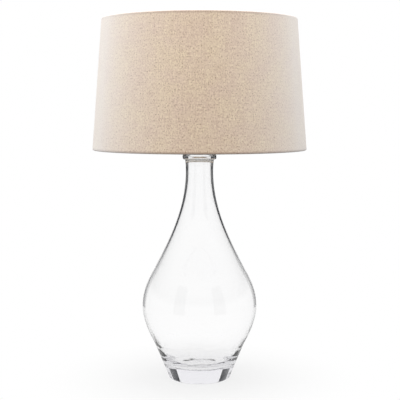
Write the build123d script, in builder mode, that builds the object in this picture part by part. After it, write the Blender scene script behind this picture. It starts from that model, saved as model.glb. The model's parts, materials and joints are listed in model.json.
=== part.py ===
"""Table lamp: a clear blown-glass bottle with a tapered drum shade of linen.

Millimetres. +Z is up, the origin is the centre of the glass foot on the table, and the front is -Y.
Each sub-part is one BuildPart block and one STEP file. Most round outlines are drawn in flats, few enough to
keep the whole lamp light: the corners of a shaft lie on its circle, and the flats of a hole touch theirs.
"""

import os
from math import atan2, cos, degrees, pi, radians, sin, sqrt

from build123d import *

# ---------------------------------------------------------------- driving dimensions

# Fits and joints between pieces
RUNNING_FIT = 0.05  # radial play of a thread or a shaft in its hole
SLIDING_FIT = 0.1  # radial play of a sleeve, and of one tube inside another
GLUE_LINE = 0.1  # between the layers of the shade
LIFT_OFF = 0.3  # between pieces that turn past each other

# Flats round a circle: LEAST_FLATS on the smallest, and more with the square root of the radius
LEAST_FLATS = 12
FLAT_GROWTH = 2.8
SHADE_FLATS = 48  # a multiple of the spider's arms, so that each meets a corner of the ring
WIRE_FLATS = 8
RING_FLATS = 6
BEND_STEP = 10.0  # degrees of a wire's bend in one straight stretch

# Glass bottle: heights are steps up from the table, radii are of the outer surface
FOOT_RADIUS = 58.0  # of the cone at the table
FOOT_ROUNDING = 3.0
CONE_RISE = 67.0  # table to the top of the straight cone
CONE_RADIUS = 85.7
BELLY_RISE = 76.0  # cone to the widest level
BELLY_RADIUS = 110.0
SHOULDER_RISE = 72.0  # belly to the level where the side turns from convex to concave
SHOULDER_RADIUS = 86.0
SHOULDER_LEAN = 27.4  # degrees from upright
NECK_RISE = 187.0  # shoulder to the narrowest level
NECK_RADIUS = 26.2
FLARE_RISE = 21.0  # narrowest level to the underside of the lip
FLARE = 2.1  # how much the neck widens below the lip
LIP_DEPTH = 10.0
LIP_OVERHANG = 6.3  # of the rolled lip past the neck
LIP_ROUNDING = 3.5

# How far each curve of the side keeps its direction at its ends
CONE_HOLD = 6.0
BELLY_HOLD_DOWN = 35.0
BELLY_HOLD_UP = 31.0
SHOULDER_HOLD_DOWN = 17.0
SHOULDER_HOLD_UP = 66.0
NECK_HOLD = 70.0

# Thickness of the glass
HEEL_WALL = 4.8  # at the top of the cone
BELLY_WALL = 3.2
SHOULDER_WALL = 3.4
NECK_WALL = 4.7
FLOOR_THICKNESS = 29.0
FLOOR_RADIUS = 40.0  # of the flat inside floor
HEEL_HOLD = 28.0
FLOOR_HOLD = 20.0
PUNT_RADIUS = 38.0  # shallow hollow under the foot
PUNT_DEPTH = 3.0

# Cap on the lip, and the stack through it
BEDDING = 1.0  # thickness of the sealant under the cap
BEDDING_MARGIN = 1.5  # from the bottle's bore
CAP_SHEET = 1.2
CAP_RISE = 10.0
CAP_TOP_RADIUS = 12.0
CAP_BRIM = 3.5
NIPPLE_RADIUS = 5.15  # 1/8 IP
NIPPLE_BORE = 3.3
NIPPLE_TAIL = 1.2  # below the nut
WASHER_MARGIN = 1.0  # inside the cap's top
WASHER_SHEET = 1.2
NUT_THICKNESS = 4.0
NUT_ACROSS_FLATS = 14.3

# Harp and saddle
HARP_HEIGHT = 228.6  # saddle to shade seat, a 9 inch harp
HARP_WIDTH = 110.0
HARP_LEAN = 30.0  # degrees, where the legs lean out most
HARP_CROWN = 30.0  # degrees, where the shoulders turn into the crown
WIRE_RADIUS = 2.0
LEG_SPACING = 66.0
LEG_STRAIGHT = 22.0  # straight foot of each leg, above its prong
SADDLE_SHEET = 1.6
SADDLE_WIDTH = 12.0
SADDLE_BEND = 3.0
SADDLE_ARM = 12.0  # strip's underside to the shoulders under the prongs
PRONG_WIDTH = 3.4
PRONG_LENGTH = 6.0
SLEEVE_WALL = 1.2
SLEEVE_LENGTH = 14.0
EYE_RADIUS = 7.0  # flattened eye on top of the harp
EYE_THICKNESS = 3.2
STUD_RADIUS = 3.1  # 1/4-27
STUD_LENGTH = 11.6
SHANK_RADIUS = 2.3
SEAT_RADIUS = 8.0
SEAT_THICKNESS = 1.2
RIVET_RADIUS = 4.2

# Finial
FINIAL_FOOT_RADIUS = 8.0
FINIAL_FOOT_RISE = 2.0
FINIAL_WAIST_RADIUS = 5.4
FINIAL_WAIST_RISE = 5.0
FINIAL_BALL_RADIUS = 7.5
INSERT_WALL = 1.2
INSERT_LENGTH = 9.0

# Lamp socket, medium screw base
HUB_WALL = 2.2
HUB_RISE = 7.0
SOCKET_CAP_RADIUS = 17.2
SOCKET_CAP_SHEET = 0.8
SOCKET_DOME_RISE = 6.0
KNOT_RISE = 12.0  # chamber for the wires, under the ledge that carries the socket's body
KNOT_TAPER = 3.5  # narrower at its foot, so that the cord's outlet looks down under the shade
CUP_STEP = 1.0  # width of that ledge
SOCKET_CUP_RISE = 7.0
FLANGE_THICKNESS = 1.5
SHELL_SHEET = 0.6
SHELL_LENGTH = 45.0
SHELL_BEAD_RISE = 2.0
SHELL_BEAD = 0.8
LINER_SHEET = 0.8
LINER_SHORTER = 1.5  # than the shell
SOCKET_BODY_RISE = 21.0
SCREW_SHEET = 0.5
SCREW_SHELL_LENGTH = 23.0
CONTACT_HOLE = 7.0
CONTACT_SHEET = 0.5
CONTACT_RISE = 3.0
CONTACT_WIDTH = 4.0
CONTACT_SPAN = 9.0
SET_SCREW_RADIUS = 1.6
TERMINAL_RADIUS = 2.6
TERMINAL_HEAD = 1.4
TERMINAL_SHANK_RADIUS = 1.4
TERMINAL_SHANK = 4.0
BUSHING_RADIUS = 4.2
BUSHING_BORE = 3.3
BUSHING_FLANGE = 1.5
BUSHING_FLANGE_RADIUS = 5.2
BUSHING_TAIL = 1.0  # inside the cup

# Turn switch
STEM_RADIUS = 2.4
STEM_HEIGHT = 12.0  # above the socket body's foot
STEM_PLAY = 1.0  # round the stem in the shell and its liner
STEM_INSET = 8.0  # inside the socket body
KNOB_GAP = 3.0  # shell to knob
KNOB_LENGTH = 11.0
KNOB_RADIUS = 6.5
KNOB_FLUTES = 12
KNOB_FLUTE_RADIUS = 0.8

# Bulb
BULB_LENGTH = 108.0
BULB_RADIUS = 30.0
BULB_WALL = 1.0
BULB_NECK_HOLD = 24.0
BULB_BELLY_HOLD = 17.0
BULB_BASE_RADIUS = 13.1
BULB_BASE_SHEET = 0.4
BULB_BASE_RISE = 19.0
BULB_NECK_SEAT = 5.0  # of the glass neck inside the base
BULB_TIP_RADIUS = 4.5
BULB_TIP_RISE = 1.6
BULB_INSULATOR_RISE = 3.0

# Shade
SHADE_TOP_RADIUS = 184.15
SHADE_BOTTOM_RADIUS = 203.2
SHADE_HEIGHT = 246.6
SPIDER_DROP = 14.0  # seat of the spider below the shade's top edge
LINEN = 0.6
LINER = 0.5
RING_WIRE_RADIUS = 1.6
HEM_DEPTH = 12.0
HEM_CHAMFER = 1.0
SPIDER_ARMS = 3
SPIDER_WIRE_RADIUS = 1.4
SPIDER_HUB_RADIUS = 12.0
SPIDER_HUB_HOLE = 5.4
SPIDER_TURN = 90.0  # degrees, direction of the first arm
SPIDER_KNEE = 18.0  # arm's bend to the ring, measured along the radius
ARM_GAP = 0.3  # arm's end to the ring, filled by the weld
SPIDER_WELD = 2.5  # of an arm on the hub
NOTCH_PLAY = 0.4  # of an arm in the notch of the hem

# ---------------------------------------------------------------- levels and radii

# Glass bottle
CONE_Z = CONE_RISE
BELLY_Z = CONE_Z + BELLY_RISE
SHOULDER_Z = BELLY_Z + SHOULDER_RISE
NECK_Z = SHOULDER_Z + NECK_RISE
LIP_Z = NECK_Z + FLARE_RISE
GLASS_Z = LIP_Z + LIP_DEPTH
LIP_RADIUS = NECK_RADIUS + LIP_OVERHANG
BOTTLE_BORE = NECK_RADIUS - NECK_WALL

# Cap and stack
CAP_Z = GLASS_Z + BEDDING
CAP_TOP_Z = CAP_Z + CAP_RISE
CAP_RADIUS = LIP_RADIUS - LIP_ROUNDING
CAP_DOME_RADIUS = CAP_RADIUS - CAP_BRIM
CAP_HOLE = NIPPLE_RADIUS + SLIDING_FIT
WASHER_Z = CAP_TOP_Z - CAP_SHEET - WASHER_SHEET
NUT_Z = WASHER_Z - NUT_THICKNESS

# Saddle and harp
SADDLE_Z = CAP_TOP_Z
SADDLE_TOP_Z = SADDLE_Z + SADDLE_SHEET
PRONG_Z = SADDLE_Z + SADDLE_ARM
LEG_Z = PRONG_Z + PRONG_LENGTH
LEG_X = LEG_SPACING / 2
SEAT_Z = SADDLE_TOP_Z + HARP_HEIGHT
EYE_Z = SEAT_Z - SEAT_THICKNESS - EYE_THICKNESS / 2  # middle of the eye and of the wire at the crown
STUD_TOP_Z = SEAT_Z + STUD_LENGTH

# Socket
HUB_TOP_Z = SADDLE_TOP_Z + HUB_RISE
KNOT_Z = HUB_TOP_Z + SOCKET_DOME_RISE
CUP_Z = KNOT_Z + KNOT_RISE
CUP_TOP_Z = CUP_Z + SOCKET_CUP_RISE
HUB_RADIUS = NIPPLE_RADIUS + HUB_WALL
KNOT_RADIUS = SOCKET_CAP_RADIUS - CUP_STEP
CUP_INSIDE = SOCKET_CAP_RADIUS - SOCKET_CAP_SHEET
SHELL_Z = CUP_Z + FLANGE_THICKNESS
SHELL_TOP_Z = SHELL_Z + SHELL_LENGTH
SHELL_RADIUS = CUP_INSIDE - SLIDING_FIT
SHELL_INSIDE = SHELL_RADIUS - SHELL_SHEET
LINER_RADIUS = SHELL_INSIDE - SLIDING_FIT
LINER_INSIDE = LINER_RADIUS - LINER_SHEET
BODY_RADIUS = LINER_INSIDE - SLIDING_FIT
BODY_TOP_Z = CUP_Z + SOCKET_BODY_RISE
SCREW_INSIDE = BULB_BASE_RADIUS + SLIDING_FIT
STEM_Z = CUP_Z + STEM_HEIGHT
CHAMBER_RISE = KNOT_RISE - SOCKET_CAP_SHEET  # outside of the chamber, up to the ledge
OUTLET_Z = KNOT_Z + CHAMBER_RISE / 2
OUTLET_Y = KNOT_RADIUS - KNOT_TAPER / 2
OUTLET_TILT = atan2(KNOT_TAPER, CHAMBER_RISE)

# Bulb
BULB_Z = BODY_TOP_Z + CONTACT_RISE
INSULATOR_Z = BULB_Z + BULB_TIP_RISE
BASE_Z = INSULATOR_Z + BULB_INSULATOR_RISE
BASE_TOP_Z = BASE_Z + BULB_BASE_RISE
BULB_TOP_Z = BULB_Z + BULB_LENGTH
BULB_BELLY_Z = BULB_TOP_Z - BULB_RADIUS
BULB_NECK_RADIUS = BULB_BASE_RADIUS - BULB_BASE_SHEET - SLIDING_FIT

# Shade
SHADE_TOP_Z = SEAT_Z + SPIDER_DROP
SHADE_Z = SHADE_TOP_Z - SHADE_HEIGHT
LINER_FACE = LINEN + GLUE_LINE  # depths in from the outside of the linen
RING_FACE = LINER_FACE + LINER + GLUE_LINE
HEM_FACE = RING_FACE + 2 * RING_WIRE_RADIUS + GLUE_LINE
HEM_BACK = HEM_FACE + LINEN
RING_DEPTH = RING_FACE + RING_WIRE_RADIUS
RING_DROP = LINEN + GLUE_LINE + RING_WIRE_RADIUS  # ring's middle from the shade's edges
SPIDER_HUB_RISE = 2 * SPIDER_WIRE_RADIUS  # flush with its arms, for the finial above and the seat below
NOTCH_WIDTH = 2 * (SPIDER_WIRE_RADIUS + NOTCH_PLAY)
NOTCH_HEIGHT = HEM_DEPTH - LINEN - GLUE_LINE

pieces = {}

# ---------------------------------------------------------------- round forms in flats


def flats(radius):
    """How many flats go round a circle, a multiple of four."""
    return 4 * round((LEAST_FLATS + FLAT_GROWTH * sqrt(radius)) / 4)


def disc(radius, mode=Mode.ADD):
    """A round outline in the open sketch."""
    return RegularPolygon(radius, flats(radius), mode=mode)


def hole(radius):
    """A round hole in the open sketch's outline."""
    return RegularPolygon(radius, flats(radius), major_radius=False, mode=Mode.SUBTRACT)


def clearing(radius, count):
    """Corner radius of a turned hole in count flats that clears a circle."""
    return radius / cos(pi / count)


def turned(outline, count):
    """A solid round the Z axis, in count flats, from a closed half-outline of (radius, height) points."""
    turns = [2 * pi * step / count for step in range(count + 1)]
    faces = []
    for (radius, height), (next_radius, next_height) in zip(outline, outline[1:] + outline[:1]):
        for turn, next_turn in zip(turns, turns[1:]):
            corners = []
            if radius > 0:
                corners.append((radius * cos(turn), radius * sin(turn), height))
            corners.append((next_radius * cos(turn), next_radius * sin(turn), next_height))
            if next_radius > 0:
                corners.append(
                    (next_radius * cos(next_turn), next_radius * sin(next_turn), next_height)
                )
            corners.append((radius * cos(next_turn), radius * sin(next_turn), height))
            if len(corners) > 2:
                faces.append(Face(Wire.make_polygon(corners, close=True)))
    return Solid(Shell(faces))


def curve(start, start_hold, end_hold, end, steps):
    """Points after start on a smooth curve to end; the holds are the ways it leaves and arrives."""
    start, end = Vector(*start), Vector(*end)
    bend = Bezier(start, start + Vector(*start_hold), end - Vector(*end_hold), end)
    return [((bend @ (step / steps)).X, (bend @ (step / steps)).Y) for step in range(1, steps + 1)]


def arc(centre, radius, start, end, steps):
    """Points of an arc about centre, from start to end in degrees."""
    angles = [radians(start + (end - start) * step / steps) for step in range(steps + 1)]
    return [(centre[0] + radius * cos(angle), centre[1] + radius * sin(angle)) for angle in angles]


def wire_path(*stretches):
    """A path in short straight stretches along lines and arcs that follow one another."""
    points = [stretches[0] @ 0]
    for stretch in stretches:
        turn = (stretch % 0).get_angle(stretch % 1)
        steps = max(1, round(turn / BEND_STEP))
        points += [stretch @ (step / steps) for step in range(1, steps + 1)]
    return Polyline(*[(point.X, point.Y) for point in points])


# ---------------------------------------------------------------- glass bottle


def bottle_side(cone_radius, belly_radius, shoulder_radius, neck_radius, steps):
    """Points after the top of the cone: out to the belly, in past the shoulder, up to the neck."""
    cone_way = Vector(CONE_RADIUS - FOOT_RADIUS, CONE_RISE).normalized()
    lean = Vector(-sin(radians(SHOULDER_LEAN)), cos(radians(SHOULDER_LEAN)))
    upright = Vector(0, 1)
    cone = (cone_radius, CONE_Z)
    belly = (belly_radius, BELLY_Z)
    shoulder = (shoulder_radius, SHOULDER_Z)
    neck = (neck_radius, NECK_Z)
    return (
        curve(cone, cone_way * CONE_HOLD, upright * BELLY_HOLD_DOWN, belly, steps)
        + curve(belly, upright * BELLY_HOLD_UP, lean * SHOULDER_HOLD_DOWN, shoulder, steps)
        + curve(shoulder, lean * SHOULDER_HOLD_UP, upright * NECK_HOLD, neck, steps + 2)
    )


with BuildPart() as glass_body:
    cone_way = Vector(CONE_RADIUS - FOOT_RADIUS, CONE_RISE).normalized()
    foot_edge = Vector(FOOT_RADIUS, 0) + cone_way * FOOT_ROUNDING
    foot_hold = FOOT_ROUNDING / 2
    foot = curve(
        (FOOT_RADIUS - FOOT_ROUNDING, 0), (foot_hold, 0), cone_way * foot_hold, foot_edge, 3
    )
    outside = bottle_side(CONE_RADIUS, BELLY_RADIUS, SHOULDER_RADIUS, NECK_RADIUS, 4)
    flare = curve(
        (NECK_RADIUS, NECK_Z), (0, FLARE_RISE / 2), (FLARE / 2, 0), (NECK_RADIUS + FLARE, LIP_Z), 2
    )
    lip_middle = LIP_RADIUS - LIP_ROUNDING
    lip = arc((lip_middle, LIP_Z + LIP_ROUNDING), LIP_ROUNDING, -90, 0, 2) + arc(
        (lip_middle, GLASS_Z - LIP_ROUNDING), LIP_ROUNDING, 0, 90, 2
    )
    heel_radius = CONE_RADIUS - HEEL_WALL
    heel = curve(
        (FLOOR_RADIUS, FLOOR_THICKNESS), (FLOOR_HOLD, 0), cone_way * HEEL_HOLD, (heel_radius, CONE_Z), 3
    )
    inside = bottle_side(
        heel_radius, BELLY_RADIUS - BELLY_WALL, SHOULDER_RADIUS - SHOULDER_WALL, BOTTLE_BORE, 3
    )
    cavity = [(FLOOR_RADIUS, FLOOR_THICKNESS), *heel, *inside, (BOTTLE_BORE, GLASS_Z)]
    punt_sphere = (PUNT_RADIUS**2 + PUNT_DEPTH**2) / (2 * PUNT_DEPTH)
    punt_turn = degrees(atan2(PUNT_RADIUS, punt_sphere - PUNT_DEPTH))
    punt = arc((0, PUNT_DEPTH - punt_sphere), punt_sphere, 90, 90 - punt_turn, 3)[1:]
    section = (
        [*punt, (FOOT_RADIUS - FOOT_ROUNDING, 0), *foot, (CONE_RADIUS, CONE_Z)]
        + [*outside, *flare, *lip]
        + [*reversed(cavity), (0, FLOOR_THICKNESS), (0, PUNT_DEPTH)]
    )
    add(turned(section, flats(BELLY_RADIUS)))
pieces["glass_body"] = glass_body

# ---------------------------------------------------------------- cap and stack

with BuildPart() as cap_bedding:
    with BuildSketch(Plane.XY.offset(GLASS_Z)):
        disc(CAP_RADIUS)
        hole(BOTTLE_BORE + BEDDING_MARGIN)
    extrude(amount=BEDDING)
pieces["cap_bedding"] = cap_bedding


def cap_dome(foot, foot_z, top_z):
    """Points of the cap's ogee from its foot to the edge of its flat top."""
    rise = (0, (top_z - foot_z) * 0.6)
    run = ((CAP_TOP_RADIUS - foot) * 0.6, 0)
    return [(foot, foot_z), *curve((foot, foot_z), rise, run, (CAP_TOP_RADIUS, top_z), 3)]


with BuildPart() as neck_cap:
    over = cap_dome(CAP_DOME_RADIUS, CAP_Z + CAP_SHEET, CAP_TOP_Z)
    under = cap_dome(CAP_DOME_RADIUS - CAP_SHEET, CAP_Z, CAP_TOP_Z - CAP_SHEET)
    cap_hole = clearing(CAP_HOLE, flats(CAP_RADIUS))
    section = (
        [(CAP_RADIUS, CAP_Z), (CAP_RADIUS, CAP_Z + CAP_SHEET), *over]
        + [(cap_hole, CAP_TOP_Z), (cap_hole, CAP_TOP_Z - CAP_SHEET)]
        + [*reversed(under)]
    )
    add(turned(section, flats(CAP_RADIUS)))
pieces["neck_cap"] = neck_cap

with BuildPart() as lock_washer:
    with BuildSketch(Plane.XY.offset(WASHER_Z)):
        disc(CAP_TOP_RADIUS - WASHER_MARGIN)
        hole(CAP_HOLE)
    extrude(amount=WASHER_SHEET)
pieces["lock_washer"] = lock_washer

with BuildPart() as lock_nut:
    with BuildSketch(Plane.XY.offset(NUT_Z)):
        RegularPolygon(NUT_ACROSS_FLATS / 2, 6, major_radius=False)
        hole(NIPPLE_RADIUS + RUNNING_FIT)
    extrude(amount=NUT_THICKNESS)
pieces["lock_nut"] = lock_nut

with BuildPart() as lamp_nipple:
    with BuildSketch(Plane.XY.offset(NUT_Z - NIPPLE_TAIL)):
        disc(NIPPLE_RADIUS)
        hole(NIPPLE_BORE)
    extrude(amount=HUB_TOP_Z - NUT_Z + NIPPLE_TAIL)
pieces["lamp_nipple"] = lamp_nipple

# ---------------------------------------------------------------- saddle and harp

with BuildPart() as harp_saddle:
    with BuildSketch(Plane.XZ):
        outside_x = LEG_X + SADDLE_SHEET / 2
        inside_x = LEG_X - SADDLE_SHEET / 2
        under_bend = SADDLE_BEND + SADDLE_SHEET
        right_under = arc((outside_x - under_bend, SADDLE_Z + under_bend), under_bend, -90, 0, 3)
        right_over = arc((inside_x - SADDLE_BEND, SADDLE_TOP_Z + SADDLE_BEND), SADDLE_BEND, 0, -90, 3)
        half = [*right_under, (outside_x, LEG_Z), (inside_x, LEG_Z), *right_over]
        with BuildLine():
            Polyline(*half, *[(-x, z) for x, z in reversed(half)], close=True)
        make_face()
    extrude(amount=SADDLE_WIDTH / 2, both=True)
    with BuildSketch(Plane.YZ):
        with Locations((0, PRONG_Z)):
            Rectangle(SADDLE_WIDTH, PRONG_LENGTH, align=(Align.CENTER, Align.MIN))
            Rectangle(
                PRONG_WIDTH, PRONG_LENGTH, align=(Align.CENTER, Align.MIN), mode=Mode.SUBTRACT
            )
    extrude(amount=LEG_SPACING, both=True, mode=Mode.SUBTRACT)
    with BuildSketch(Plane.XY.offset(SADDLE_Z)):
        RegularPolygon(CAP_HOLE, flats(CAP_HOLE), major_radius=False)
    extrude(amount=SADDLE_SHEET, mode=Mode.SUBTRACT)
pieces["harp_saddle"] = harp_saddle

# The harp's leg leans out through two equal arcs and comes back through a long and a short one,
# whose radii follow from the height and the width that are left.
lean_cos, lean_sin = cos(radians(HARP_LEAN)), sin(radians(HARP_LEAN))
crown_cos, crown_sin = cos(radians(HARP_CROWN)), sin(radians(HARP_CROWN))
LEAN_RADIUS = (HARP_WIDTH / 2 - LEG_X) / (1 - lean_cos) / 2
CROWN_RISE = EYE_Z - (LEG_Z + LEG_STRAIGHT + 2 * LEAN_RADIUS * lean_sin)
crown_share = 1 - crown_cos - crown_sin
SIDE_RADIUS = (HARP_WIDTH / 2 * (1 - crown_sin) - CROWN_RISE * crown_cos) / crown_share
CROWN_RADIUS = (CROWN_RISE * (1 - crown_cos) - HARP_WIDTH / 2 * crown_sin) / crown_share

leg = Line((LEG_X, LEG_Z), (LEG_X, LEG_Z + LEG_STRAIGHT))
lean = JernArc(leg @ 1, leg % 1, LEAN_RADIUS, -HARP_LEAN)
back = JernArc(lean @ 1, lean % 1, LEAN_RADIUS, HARP_LEAN)
side = JernArc(back @ 1, back % 1, SIDE_RADIUS, HARP_CROWN)
crown = JernArc(side @ 1, side % 1, CROWN_RADIUS, 90 - HARP_CROWN)

with BuildPart() as harp:
    with BuildLine(Plane.XZ) as harp_half:
        wire_path(leg, lean, back, side, crown)
    with BuildSketch(Plane.XY.offset(LEG_Z)):
        with Locations((LEG_X, 0)):
            RegularPolygon(WIRE_RADIUS, WIRE_FLATS)
    sweep(path=harp_half.line, transition=Transition.RIGHT)
    mirror(about=Plane.YZ)
    # the crown is flattened to an eye for the stud's rivet
    for face_z, way in ((EYE_Z + EYE_THICKNESS / 2, 1), (EYE_Z - EYE_THICKNESS / 2, -1)):
        with BuildSketch(Plane.XY.offset(face_z)):
            disc(EYE_RADIUS + WIRE_RADIUS)
        extrude(amount=way * WIRE_RADIUS, mode=Mode.SUBTRACT)
    with BuildSketch(Plane.XY.offset(EYE_Z - EYE_THICKNESS / 2)):
        disc(EYE_RADIUS)
    extrude(amount=EYE_THICKNESS)
    with BuildSketch(Plane.XY.offset(EYE_Z - EYE_THICKNESS / 2)):
        shank_hole = SHANK_RADIUS + RUNNING_FIT
        RegularPolygon(shank_hole, flats(shank_hole), major_radius=False)
    extrude(amount=EYE_THICKNESS, mode=Mode.SUBTRACT)
pieces["harp"] = harp

for sleeve_name, side_x in (("left_harp_sleeve", -LEG_X), ("right_harp_sleeve", LEG_X)):
    with BuildPart() as sleeve:
        with BuildSketch(Plane.XY.offset(PRONG_Z)):
            with Locations((side_x, 0)):
                disc(WIRE_RADIUS + SLIDING_FIT + SLEEVE_WALL)
                hole(WIRE_RADIUS + SLIDING_FIT)
        extrude(amount=SLEEVE_LENGTH)
    pieces[sleeve_name] = sleeve

with BuildPart() as harp_stud:
    steps = (
        (EYE_Z - EYE_THICKNESS / 2 - SEAT_THICKNESS, RIVET_RADIUS, SEAT_THICKNESS),
        (EYE_Z - EYE_THICKNESS / 2, SHANK_RADIUS, EYE_THICKNESS),
        (EYE_Z + EYE_THICKNESS / 2, SEAT_RADIUS, SEAT_THICKNESS),
        (SEAT_Z, STUD_RADIUS, STUD_LENGTH),
    )
    for foot_z, radius, rise in steps:
        with BuildSketch(Plane.XY.offset(foot_z)):
            disc(radius)
        extrude(amount=rise)
pieces["harp_stud"] = harp_stud

# ---------------------------------------------------------------- finial

FINIAL_Z = SEAT_Z + SPIDER_HUB_RISE + LIFT_OFF
INSERT_BORE = STUD_RADIUS + RUNNING_FIT
INSERT_RADIUS = INSERT_BORE + INSERT_WALL
SOCKET_OF_INSERT = INSERT_RADIUS + RUNNING_FIT
FINIAL_WAIST_Z = FINIAL_Z + FINIAL_WAIST_RISE
ball_drop = sqrt(FINIAL_BALL_RADIUS**2 - FINIAL_WAIST_RADIUS**2)
FINIAL_BALL_Z = FINIAL_WAIST_Z + ball_drop
FINIAL_BORE_Z = max(STUD_TOP_Z, FINIAL_Z + INSERT_LENGTH) + LIFT_OFF

with BuildPart() as finial:
    waist_turn = degrees(atan2(-ball_drop, FINIAL_WAIST_RADIUS))
    ball = arc((0, FINIAL_BALL_Z), FINIAL_BALL_RADIUS, waist_turn, 90, 6)
    finial_bore = clearing(SOCKET_OF_INSERT, flats(FINIAL_BALL_RADIUS))
    section = (
        [(finial_bore, FINIAL_Z), (FINIAL_FOOT_RADIUS, FINIAL_Z)]
        + [(FINIAL_FOOT_RADIUS, FINIAL_Z + FINIAL_FOOT_RISE), *ball[:-1]]
        + [(0, FINIAL_BALL_Z + FINIAL_BALL_RADIUS), (0, FINIAL_BORE_Z)]
        + [(finial_bore, FINIAL_BORE_Z)]
    )
    add(turned(section, flats(FINIAL_BALL_RADIUS)))
pieces["finial"] = finial

with BuildPart() as finial_insert:
    with BuildSketch(Plane.XY.offset(FINIAL_Z)):
        Circle(INSERT_RADIUS)
        hole(INSERT_BORE)
    extrude(amount=INSERT_LENGTH)
pieces["finial_insert"] = finial_insert

# ---------------------------------------------------------------- socket


def cap_side(shrink):
    """Points of the socket cap's side from the top of its hub to its rim, drawn in by shrink."""
    hub = HUB_RADIUS - shrink
    knot = KNOT_RADIUS - shrink
    knot_foot = knot - KNOT_TAPER
    cup = SOCKET_CAP_RADIUS - shrink
    hub_z = HUB_TOP_Z + shrink
    ledge_z = CUP_Z if shrink else CUP_Z - SOCKET_CAP_SHEET
    out = ((knot_foot - hub) / 2, 0)
    up = (0, (KNOT_Z - hub_z) / 2)
    dome = curve((hub, hub_z), out, up, (knot_foot, KNOT_Z), 3)
    return [(hub, hub_z), *dome, (knot, ledge_z), (cup, ledge_z), (cup, CUP_TOP_Z)]


# Where the cord leaves, square to the chamber's slanted back
outlet = Plane(
    (0, OUTLET_Y, OUTLET_Z), x_dir=(1, 0, 0), z_dir=(0, cos(OUTLET_TILT), -sin(OUTLET_TILT))
)

with BuildPart() as socket_cap:
    hub_bore = clearing(NIPPLE_RADIUS + RUNNING_FIT, flats(SOCKET_CAP_RADIUS))
    section = (
        [(hub_bore, SADDLE_TOP_Z), (HUB_RADIUS, SADDLE_TOP_Z), *cap_side(0)]
        + [*reversed(cap_side(SOCKET_CAP_SHEET)), (hub_bore, HUB_TOP_Z + SOCKET_CAP_SHEET)]
    )
    add(turned(section, flats(SOCKET_CAP_RADIUS)))
    with BuildSketch(outlet):
        Circle(BUSHING_RADIUS + RUNNING_FIT)
    extrude(amount=-BUSHING_RADIUS, mode=Mode.SUBTRACT)
    with BuildSketch(Plane.YZ):
        with Locations((0, SADDLE_TOP_Z + HUB_RISE / 2)):
            disc(SET_SCREW_RADIUS + RUNNING_FIT)
    extrude(amount=2 * HUB_RADIUS, mode=Mode.SUBTRACT)
pieces["socket_cap"] = socket_cap

with BuildPart() as cap_set_screw:
    with BuildSketch(Plane.YZ.offset(NIPPLE_RADIUS)):
        with Locations((0, SADDLE_TOP_Z + HUB_RISE / 2)):
            disc(SET_SCREW_RADIUS)
    extrude(amount=HUB_WALL + SET_SCREW_RADIUS)
pieces["cap_set_screw"] = cap_set_screw

with BuildPart() as cord_bushing:
    with BuildSketch(outlet):
        disc(BUSHING_FLANGE_RADIUS)
    extrude(amount=BUSHING_FLANGE)
    with BuildSketch(outlet):
        disc(BUSHING_RADIUS)
    extrude(amount=-SOCKET_CAP_SHEET - BUSHING_TAIL)
    with BuildSketch(outlet):
        Circle(BUSHING_BORE)
    extrude(amount=KNOT_RADIUS, both=True, mode=Mode.SUBTRACT)
pieces["cord_bushing"] = cord_bushing


def slotted_tube(outside, inside, length):
    """A tube on the socket's flange, slotted from its foot up to clear the switch stem."""
    slot_width = 2 * (STEM_RADIUS + STEM_PLAY)
    with BuildPart() as tube:
        with BuildSketch(Plane.XY.offset(SHELL_Z)):
            disc(outside)
            hole(inside)
        extrude(amount=length)
        with BuildSketch(Plane.XZ):
            with Locations((0, STEM_Z)):
                disc(slot_width / 2)
                Rectangle(slot_width, STEM_Z - SHELL_Z, align=(Align.CENTER, Align.MAX))
        extrude(amount=outside + SLIDING_FIT, mode=Mode.SUBTRACT)
    return tube


with BuildPart() as socket_shell:
    add(slotted_tube(SHELL_RADIUS, SHELL_INSIDE, SHELL_LENGTH).part)
    bead_z = SHELL_TOP_Z - SHELL_BEAD_RISE
    bead = [
        (SHELL_RADIUS - SHELL_SHEET / 2, bead_z),
        (SHELL_RADIUS, bead_z),
        (SHELL_RADIUS + SHELL_BEAD, bead_z + SHELL_BEAD_RISE / 3),
        (SHELL_RADIUS + SHELL_BEAD, SHELL_TOP_Z - SHELL_BEAD_RISE / 3),
        (SHELL_RADIUS, SHELL_TOP_Z),
        (SHELL_RADIUS - SHELL_SHEET / 2, SHELL_TOP_Z),
    ]
    add(turned(bead, flats(SHELL_RADIUS)))
pieces["socket_shell"] = socket_shell

shell_liner = slotted_tube(LINER_RADIUS, LINER_INSIDE, SHELL_LENGTH - LINER_SHORTER)
pieces["shell_liner"] = shell_liner

TERMINAL_X = BODY_RADIUS - TERMINAL_HEAD

with BuildPart() as socket_body:
    with BuildSketch(Plane.XY.offset(CUP_Z)):
        disc(CUP_INSIDE - SLIDING_FIT)
    extrude(amount=FLANGE_THICKNESS)
    with BuildSketch(Plane.XY.offset(CUP_Z)):
        disc(BODY_RADIUS)
    extrude(amount=SOCKET_BODY_RISE)
    with BuildSketch(Plane.XZ):
        with Locations((0, STEM_Z)):
            Circle(STEM_RADIUS + RUNNING_FIT)
    extrude(amount=BODY_RADIUS, mode=Mode.SUBTRACT)
    # a flat on either side with a tapped hole for each terminal screw
    for side in (-1, 1):
        with BuildSketch(Plane.YZ.offset(side * TERMINAL_X)):
            with Locations((0, STEM_Z)):
                Rectangle(2 * BODY_RADIUS, 2 * TERMINAL_RADIUS + LIFT_OFF)
        extrude(amount=side * BODY_RADIUS, mode=Mode.SUBTRACT)
        with BuildSketch(Plane.YZ.offset(side * TERMINAL_X)):
            with Locations((0, STEM_Z)):
                disc(TERMINAL_SHANK_RADIUS + RUNNING_FIT)
        extrude(amount=-side * (TERMINAL_SHANK + LIFT_OFF), mode=Mode.SUBTRACT)
pieces["socket_body"] = socket_body

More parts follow.
